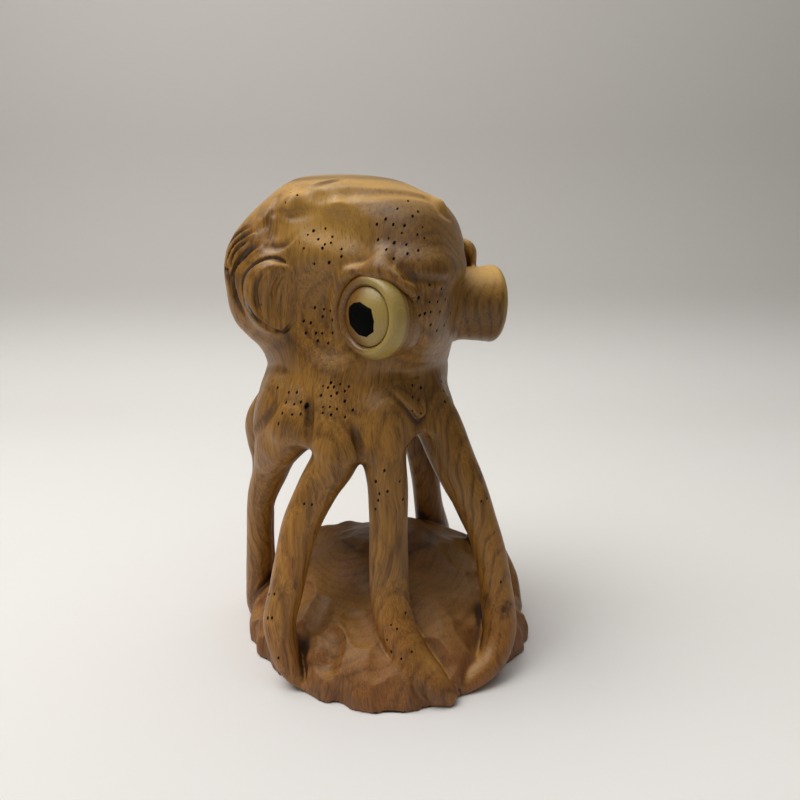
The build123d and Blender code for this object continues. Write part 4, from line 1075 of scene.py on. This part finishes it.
def pale_wood(settings):
    """Sapwood at the outside of the log, waxed: pale yellow, fading to brown towards the head."""
    material, tree, shader = new_material("waxed_sapwood")
    if tree is None:
        return material
    mm = millimetres(tree)
    both = vectors(tree, "ABSOLUTE", mm)
    wander = add(tree, "TexNoise", {"Vector": mm, "Scale": 0.05, "Detail": 2.0}).outputs["Color"]
    level = add(tree, "SeparateXYZ", {0: mm}).outputs
    deep = add(tree, "SeparateXYZ", {0: both}).outputs[1]
    across = maths(tree, "MULTIPLY_ADD", level[0], 0.62, deep)
    across = maths(tree, "MULTIPLY_ADD", wander, 2.5, across)
    pale = mapped(tree, across, 35.0, 46.0, how="SMOOTHSTEP")
    start = -float(EYE_FRONT @ EYE_HEADING)
    out = maths(tree, "MULTIPLY_ADD", deep, -EYE_HEADING[1], start)
    out = maths(tree, "MULTIPLY_ADD", level[0], EYE_HEADING[0], out)
    front = mapped(tree, out, -8.0, -4.0, how="SMOOTHSTEP")
    pale = maths(tree, "MULTIPLY", pale, front)
    band = maths(tree, "DIVIDE", across, 1.3)
    band = maths(tree, "FRACT", band)
    line = ramp(tree, band, [(0.0, 0.9), (0.95, 1.0), (0.8, 0.86)])
    fibre = noise(tree, mm, 0.9, 4.0)
    light = mixed(tree, fibre, linear("#A98F50"), settings.sapwood)
    dark = mixed(tree, fibre, settings.latewood, settings.heartwood)
    tone = mixed(tree, pale, dark, light)
    tone = mixed(tree, 1.0, tone, line, "MULTIPLY")
    bump = add(tree, "Bump", {"Height": fibre, "Strength": 0.25, "Distance": 0.3 * MM}).outputs[0]
    tree.links.new(tone, shader.inputs["Base Color"])
    tree.links.new(bump, shader.inputs["Normal"])
    shader.inputs["Roughness"].default_value = 0.36
    return material


def black_paint(settings):
    """Brushed black paint: near black with faint brush streaks and a soft gloss."""
    material, tree, shader = new_material("brushed_black_paint")
    if tree is None:
        return material
    place = add(tree, "TexCoord").outputs["Object"]
    mm = vectors(tree, "MULTIPLY", place, (1200, 1200, 300))
    brush = noise(tree, mm, 1.0, 3.0)
    tone = mixed(tree, brush, settings.pupil_paint, linear("#070807"))
    rough = mapped(tree, brush, 0.2, 0.8, 0.5, 0.7)
    bump = add(tree, "Bump", {"Height": brush, "Strength": 0.2, "Distance": 0.2 * MM}).outputs[0]
    tree.links.new(tone, shader.inputs["Base Color"])
    tree.links.new(rough, shader.inputs["Roughness"])
    tree.links.new(bump, shader.inputs["Normal"])
    shader.inputs["Specular IOR Level"].default_value = 0.04
    return material


def body_wood(settings):
    """The wood of the animal, and the dark cut wood inside its dots, whose darkness is painted shade of the
    pits.
    """
    light, dark = settings.heartwood, settings.latewood
    wood = carved_wood("waxed_carved_hardwood", light, dark, settings, pale_end=True)
    return [wood, cut_wood_and_pit_shade(settings)]


def head_tools(settings):
    """Field, surface and cutting tools of the head."""
    field, surface = carving("upper", round(settings.head_step / MM, 4))
    mouth = turned(SIPHON_MOUTH, SIPHON_HEADING, SIPHON_CUT)
    boss = turned(COIL_CENTRE, COIL_HEADING, COIL_CUT, stretch=[half + CUT_ROOM for half in COIL_HALF[1:]])
    return field, surface, mouth, boss


class CarveHead(bpy.types.Operator):
    """Carve the head, with its siphon and the coil at its left end"""

    bl_idname = "octopus.carve_head"
    bl_label = "Carve head"

    def execute(self, context):
        settings = context.scene.octopus
        field, surface, mouth, boss = head_tools(settings)
        dots = HEAD_DOTS + [(x, -y, z) for x, y, z in HEAD_DOTS]
        cones = dot_cones(field, dots, settings.dot_width / MM, settings.dot_depth / MM)
        above = block(NECK_HEIGHT, 215)
        sockets = [("DIFFERENCE", eye_socket(side)) for side in (1, -1)]
        cuts = [("INTERSECT", above), ("DIFFERENCE", mouth), ("DIFFERENCE", boss), *sockets]
        woods = body_wood(settings)
        dress("mantle", sawn(surface, *cuts, ("DIFFERENCE", cones)), woods, field)
        dress("siphon", sawn(surface, ("INTERSECT", mouth)), woods, field)
        dress("mantle_coil", sawn(surface, ("INTERSECT", boss)), woods, field)
        return {"FINISHED"}


def flap_tool():
    """Closed prism round the flap on the web."""
    around = []
    for angle in np.linspace(0, 2 * math.pi, 48, endpoint=False):
        steps = np.linspace(0, 20, 400)
        side, up = steps * math.cos(angle) + 0.9, steps * math.sin(angle) + 1.0
        edge = np.argmax(flap_plan(side, up, 0.9) > 0)
        around.append((side[edge], up[edge]))
    side, up = np.array(around).T
    return solid_between([at(FLAP_CENTRE, FLAP_HEADING, out, side, up) for out in (-5, 12)])


class CarveWeb(bpy.types.Operator):
    """Carve the web between the arms, with its pointed flap"""

    bl_idname = "octopus.carve_web"
    bl_label = "Carve web"

    def execute(self, context):
        settings = context.scene.octopus
        field, surface = carving("lower", round(settings.body_step / MM, 4))
        cones = dot_cones(field, BODY_DOTS, settings.dot_width / MM, settings.dot_depth / MM)
        hole = dot_cones(field, [LARGE_HOLE], LARGE_HOLE_WIDTH, LARGE_HOLE_DEPTH)
        band = block(ROOT_HEIGHT - 14, NECK_HEIGHT)
        prism = flap_tool()
        sleeves = [("DIFFERENCE", arm_sleeve(rows)) for rows in ARMS.values()]
        woods = body_wood(settings)
        dots = [("DIFFERENCE", cones), ("DIFFERENCE", hole)]
        web = sawn(surface, ("INTERSECT", band), ("DIFFERENCE", prism), *sleeves, *dots)
        dress("arm_web", web, woods, field)
        plate = sawn(surface, ("INTERSECT", band), ("INTERSECT", prism), ("DIFFERENCE", cones))
        dress("web_flap", plate, woods, field)
        return {"FINISHED"}


class CarveArms(bpy.types.Operator):
    """Carve the eight arms that stand on the rock"""

    bl_idname = "octopus.carve_arms"
    bl_label = "Carve arms"

    def execute(self, context):
        settings = context.scene.octopus
        field, surface = carving("lower", round(settings.body_step / MM, 4))
        cones = dot_cones(field, BODY_DOTS, settings.dot_width / MM, settings.dot_depth / MM)
        woods = body_wood(settings)
        for name, rows in ARMS.items():
            arm = sawn(surface, ("INTERSECT", arm_sleeve(rows)), ("DIFFERENCE", cones))
            dress(name, arm, woods, field)
        return {"FINISHED"}


class CarveRock(bpy.types.Operator):
    """Carve the rock with a wide gouge"""

    bl_idname = "octopus.carve_rock"
    bl_label = "Carve rock"

    def execute(self, context):
        settings = context.scene.octopus
        field, surface = carving("lower", round(settings.body_step / MM, 4))
        sleeves = [("DIFFERENCE", arm_sleeve(rows)) for rows in ARMS.values()]
        rock = sawn(surface, ("INTERSECT", block(-10, 60)), *sleeves)
        wood = carved_wood(
            "gouged_hardwood", settings.rock_light, settings.rock_dark, settings,
            rough=0.5, reddish=0.3, painted_top_light=0.18, mottle=0.5,
        )
        dress("rock_base", rock, [wood, cut_wood_and_pit_shade(settings)], field)
        return {"FINISHED"}


def eye_socket(side):
    """Closed tool that makes room for an eye ring, in front (1) or behind (-1)."""
    centre, heading = EYE_FRONT * (1, side, 1), EYE_HEADING * (1, side, 1)
    profile = [(-EYE_RING_DEPTH, EYE_RING_RADIUS), *RING_SHOULDER, (9, RING_SHOULDER[-1][1])]
    return turned(centre, heading, profile, sides=96)


def mirrored(mesh, side):
    """The mesh itself, or turned over to the other side of the head."""
    if side < 0:
        for vertex in mesh.vertices:
            vertex.co.y = -vertex.co.y
        mesh.flip_normals()
    mesh.polygons.foreach_set("use_smooth", np.ones(len(mesh.polygons), dtype=bool))
    return mesh


class TurnEyes(bpy.types.Operator):
    """Turn the rings and balls of both eyes and paint their pupils"""

    bl_idname = "octopus.turn_eyes"
    bl_label = "Turn eyes"

    def execute(self, context):
        settings = context.scene.octopus
        pale, paint = pale_wood(settings), black_paint(settings)
        sphere = (EYEBALL_RADIUS**2 + EYEBALL_DOME**2) / (2 * EYEBALL_DOME)
        apex = EYEBALL_EDGE + EYEBALL_DOME
        for side, node in ((1, "front_eye"), (-1, "rear_eye")):
            dress(node + "_ring", mirrored(eye_ring(), side), [pale])
            angles = np.linspace(math.asin(EYEBALL_RADIUS / sphere), 0.004, 22)
            dome = [(apex - sphere + sphere * math.cos(a), sphere * math.sin(a)) for a in angles]
            profile = [(-EYE_RING_DEPTH + 4, EYEBALL_RADIUS), (EYEBALL_EDGE - 0.8, EYEBALL_RADIUS), *dome]
            ball = turned(EYE_FRONT, EYE_HEADING, profile, sides=64)
            dress(node + "_ball", mirrored(ball, side), [pale])
            dress(node + "_pupil", mirrored(pupil(sphere, apex), side), [paint])
        return {"FINISHED"}


def eye_ring():
    """Rounded ring with a hole for the eyeball."""
    inner, outer = EYEBALL_RADIUS + 0.15, EYE_RING_RADIUS - 0.03
    profile = [
        (-EYE_RING_DEPTH + 0.2, inner), (-4.0, inner), (-2.0, inner + 0.05), (-1.0, inner + 0.45),
        (-0.3, inner + 1.1), (0.0, inner + 2.0), (-0.25, inner + 2.9), (-1.0, inner + 3.7),
        (-2.2, inner + 4.3), (-3.8, inner + 4.7), (-5.2, outer), (-6.0, outer - 0.3), (-6.8, outer),
        (-7.8, outer - 0.3), (-8.6, outer), (-9.6, outer - 0.3), (-10.4, outer), (-11.4, outer),
        (-EYE_RING_DEPTH + 0.2, outer),
    ]  # fmt: skip
    smooth = np.vstack([profile[:1], curve_points(profile[1:-1], 90), profile[-1:]])
    angle = np.linspace(0, 2 * math.pi, 96, endpoint=False)
    rings = [at(EYE_FRONT, EYE_HEADING, o, r * np.cos(angle), r * np.sin(angle)) for o, r in smooth]
    count, faces = len(angle), []
    for k in range(len(rings)):
        a, b = k * count, (k + 1) % len(rings) * count
        faces += [(a + i, b + i, b + (i + 1) % count, a + (i + 1) % count) for i in range(count)]
    return mesh_from("ring", np.vstack(rings), faces)


def pupil(sphere, apex):
    """Thin skin of paint on the eyeball, with a hand-cut outline."""
    corners = np.array(PUPIL_CORNERS[::-1])
    along_edge = np.linspace(0, 1, 8, endpoint=False)[:, None]
    outline = np.vstack([a + (b - a) * along_edge for a, b in zip(corners, np.roll(corners, -1, 0))])
    middle = outline.mean(0)
    rings = []
    for share, lift in PUPIL_RINGS:
        side, up = (middle + (outline - middle) * share).T
        out = apex - sphere + np.sqrt(sphere**2 - side**2 - up**2) + lift
        rings.append(at(EYE_FRONT, EYE_HEADING, out, side, up))
    return solid_between(rings)


class LayStage(bpy.types.Operator):
    """Lay the pale sweep and set the lamps and the camera"""

    bl_idname = "octopus.lay_stage"
    bl_label = "Lay stage"

    def execute(self, context):
        settings = context.scene.octopus
        scene = context.scene
        turn = np.linspace(0, math.pi / 2, 16)
        bend, back = SWEEP_BEND, SWEEP_BACK
        profile = [(-SWEEP_REACH, 0)]
        profile += [(back + bend * math.sin(a), bend - bend * math.cos(a)) for a in turn]
        profile.append((back + bend, SWEEP_REACH))
        points = [(x, y, z) for y, z in profile for x in (-SWEEP_HALF, SWEEP_HALF)]
        faces = [(2 * k, 2 * k + 1, 2 * k + 3, 2 * k + 2) for k in range(len(profile) - 1)]
        sweep = bpy.data.objects.new("sweep", mesh_from("sweep", np.array(points), faces))
        scene.collection.objects.link(sweep)
        mirrored(sweep.data, 1)
        sweep.data.materials.append(pale_cloth(settings))
        for name, place, aim, size, power in LAMPS:
            light = bpy.data.lights.new(name, "AREA")
            light.energy, light.size = power, size * MM
            lamp = bpy.data.objects.new(name, light)
            scene.collection.objects.link(lamp)
            lamp.location = Vector(place) * MM
            lamp.rotation_euler = (Vector(aim) * MM - lamp.location).to_track_quat("-Z", "Y").to_euler()
        world = bpy.data.worlds.new("studio")
        world.use_nodes = True
        sky = world.node_tree.nodes["Background"].inputs
        sky[0].default_value, sky[1].default_value = linear("#E8EAEE"), SKY_STRENGTH
        scene.world = world
        scene.view_settings.view_transform = "Standard"
        data = bpy.data.cameras.new("camera")
        data.lens, data.sensor_width = CAMERA_LENS, CAMERA_SENSOR
        camera = bpy.data.objects.new("camera", data)
        scene.collection.objects.link(camera)
        camera.location = Vector(CAMERA_PLACE) * MM
        camera.rotation_euler = (math.radians(CAMERA_TILT), 0, 0)
        scene.camera = camera
        return {"FINISHED"}


def pale_cloth(settings):
    """Matt pale cloth: faint broad clouding, and painted shade that greys it where it rises at the back."""
    material, tree, shader = new_material("matt_pale_cloth")
    if tree is None:
        return material
    place = add(tree, "TexCoord").outputs["Object"]
    cloud = noise(tree, place, 3.0, 2.0)
    tone = mixed(tree, cloud, settings.floor_colour, linear("#E9E6E2"))
    height = add(tree, "SeparateXYZ", {0: place}).outputs[2]
    # Painted shade: the cloth greys where the sweep rises into the backdrop.
    wall = mapped(tree, height, 0.0, 0.14, how="SMOOTHSTEP")
    tone = mixed(tree, wall, tone, linear("#C2BEB8"))
    tree.links.new(tone, shader.inputs["Base Color"])
    shader.inputs["Roughness"].default_value = 0.95
    shader.inputs["Specular IOR Level"].default_value = 0.1
    return material


class OctopusPanel(bpy.types.Panel):
    """Steps that build the carving"""

    bl_idname = "VIEW3D_PT_octopus"
    bl_label = "Carved octopus"
    bl_space_type = "VIEW_3D"
    bl_region_type = "UI"
    bl_category = "Octopus"

    def draw(self, context):
        for step in STEPS:
            self.layout.operator(step.bl_idname)
        for name in OctopusSettings.__annotations__:
            self.layout.prop(context.scene.octopus, name)


STEPS = (CarveHead, CarveWeb, CarveArms, CarveRock, TurnEyes, LayStage)


def register():
    for item in (OctopusSettings, *STEPS, OctopusPanel):
        bpy.utils.register_class(item)
    bpy.types.Scene.octopus = bpy.props.PointerProperty(type=OctopusSettings)


def unregister():
    del bpy.types.Scene.octopus
    for item in reversed((OctopusSettings, *STEPS, OctopusPanel)):
        bpy.utils.unregister_class(item)


def main():
    register()
    for step in STEPS:
        family, name = step.bl_idname.split(".")
        getattr(getattr(bpy.ops, family), name)()
    carving.cache_clear()


if __name__ == "__main__":
    main()
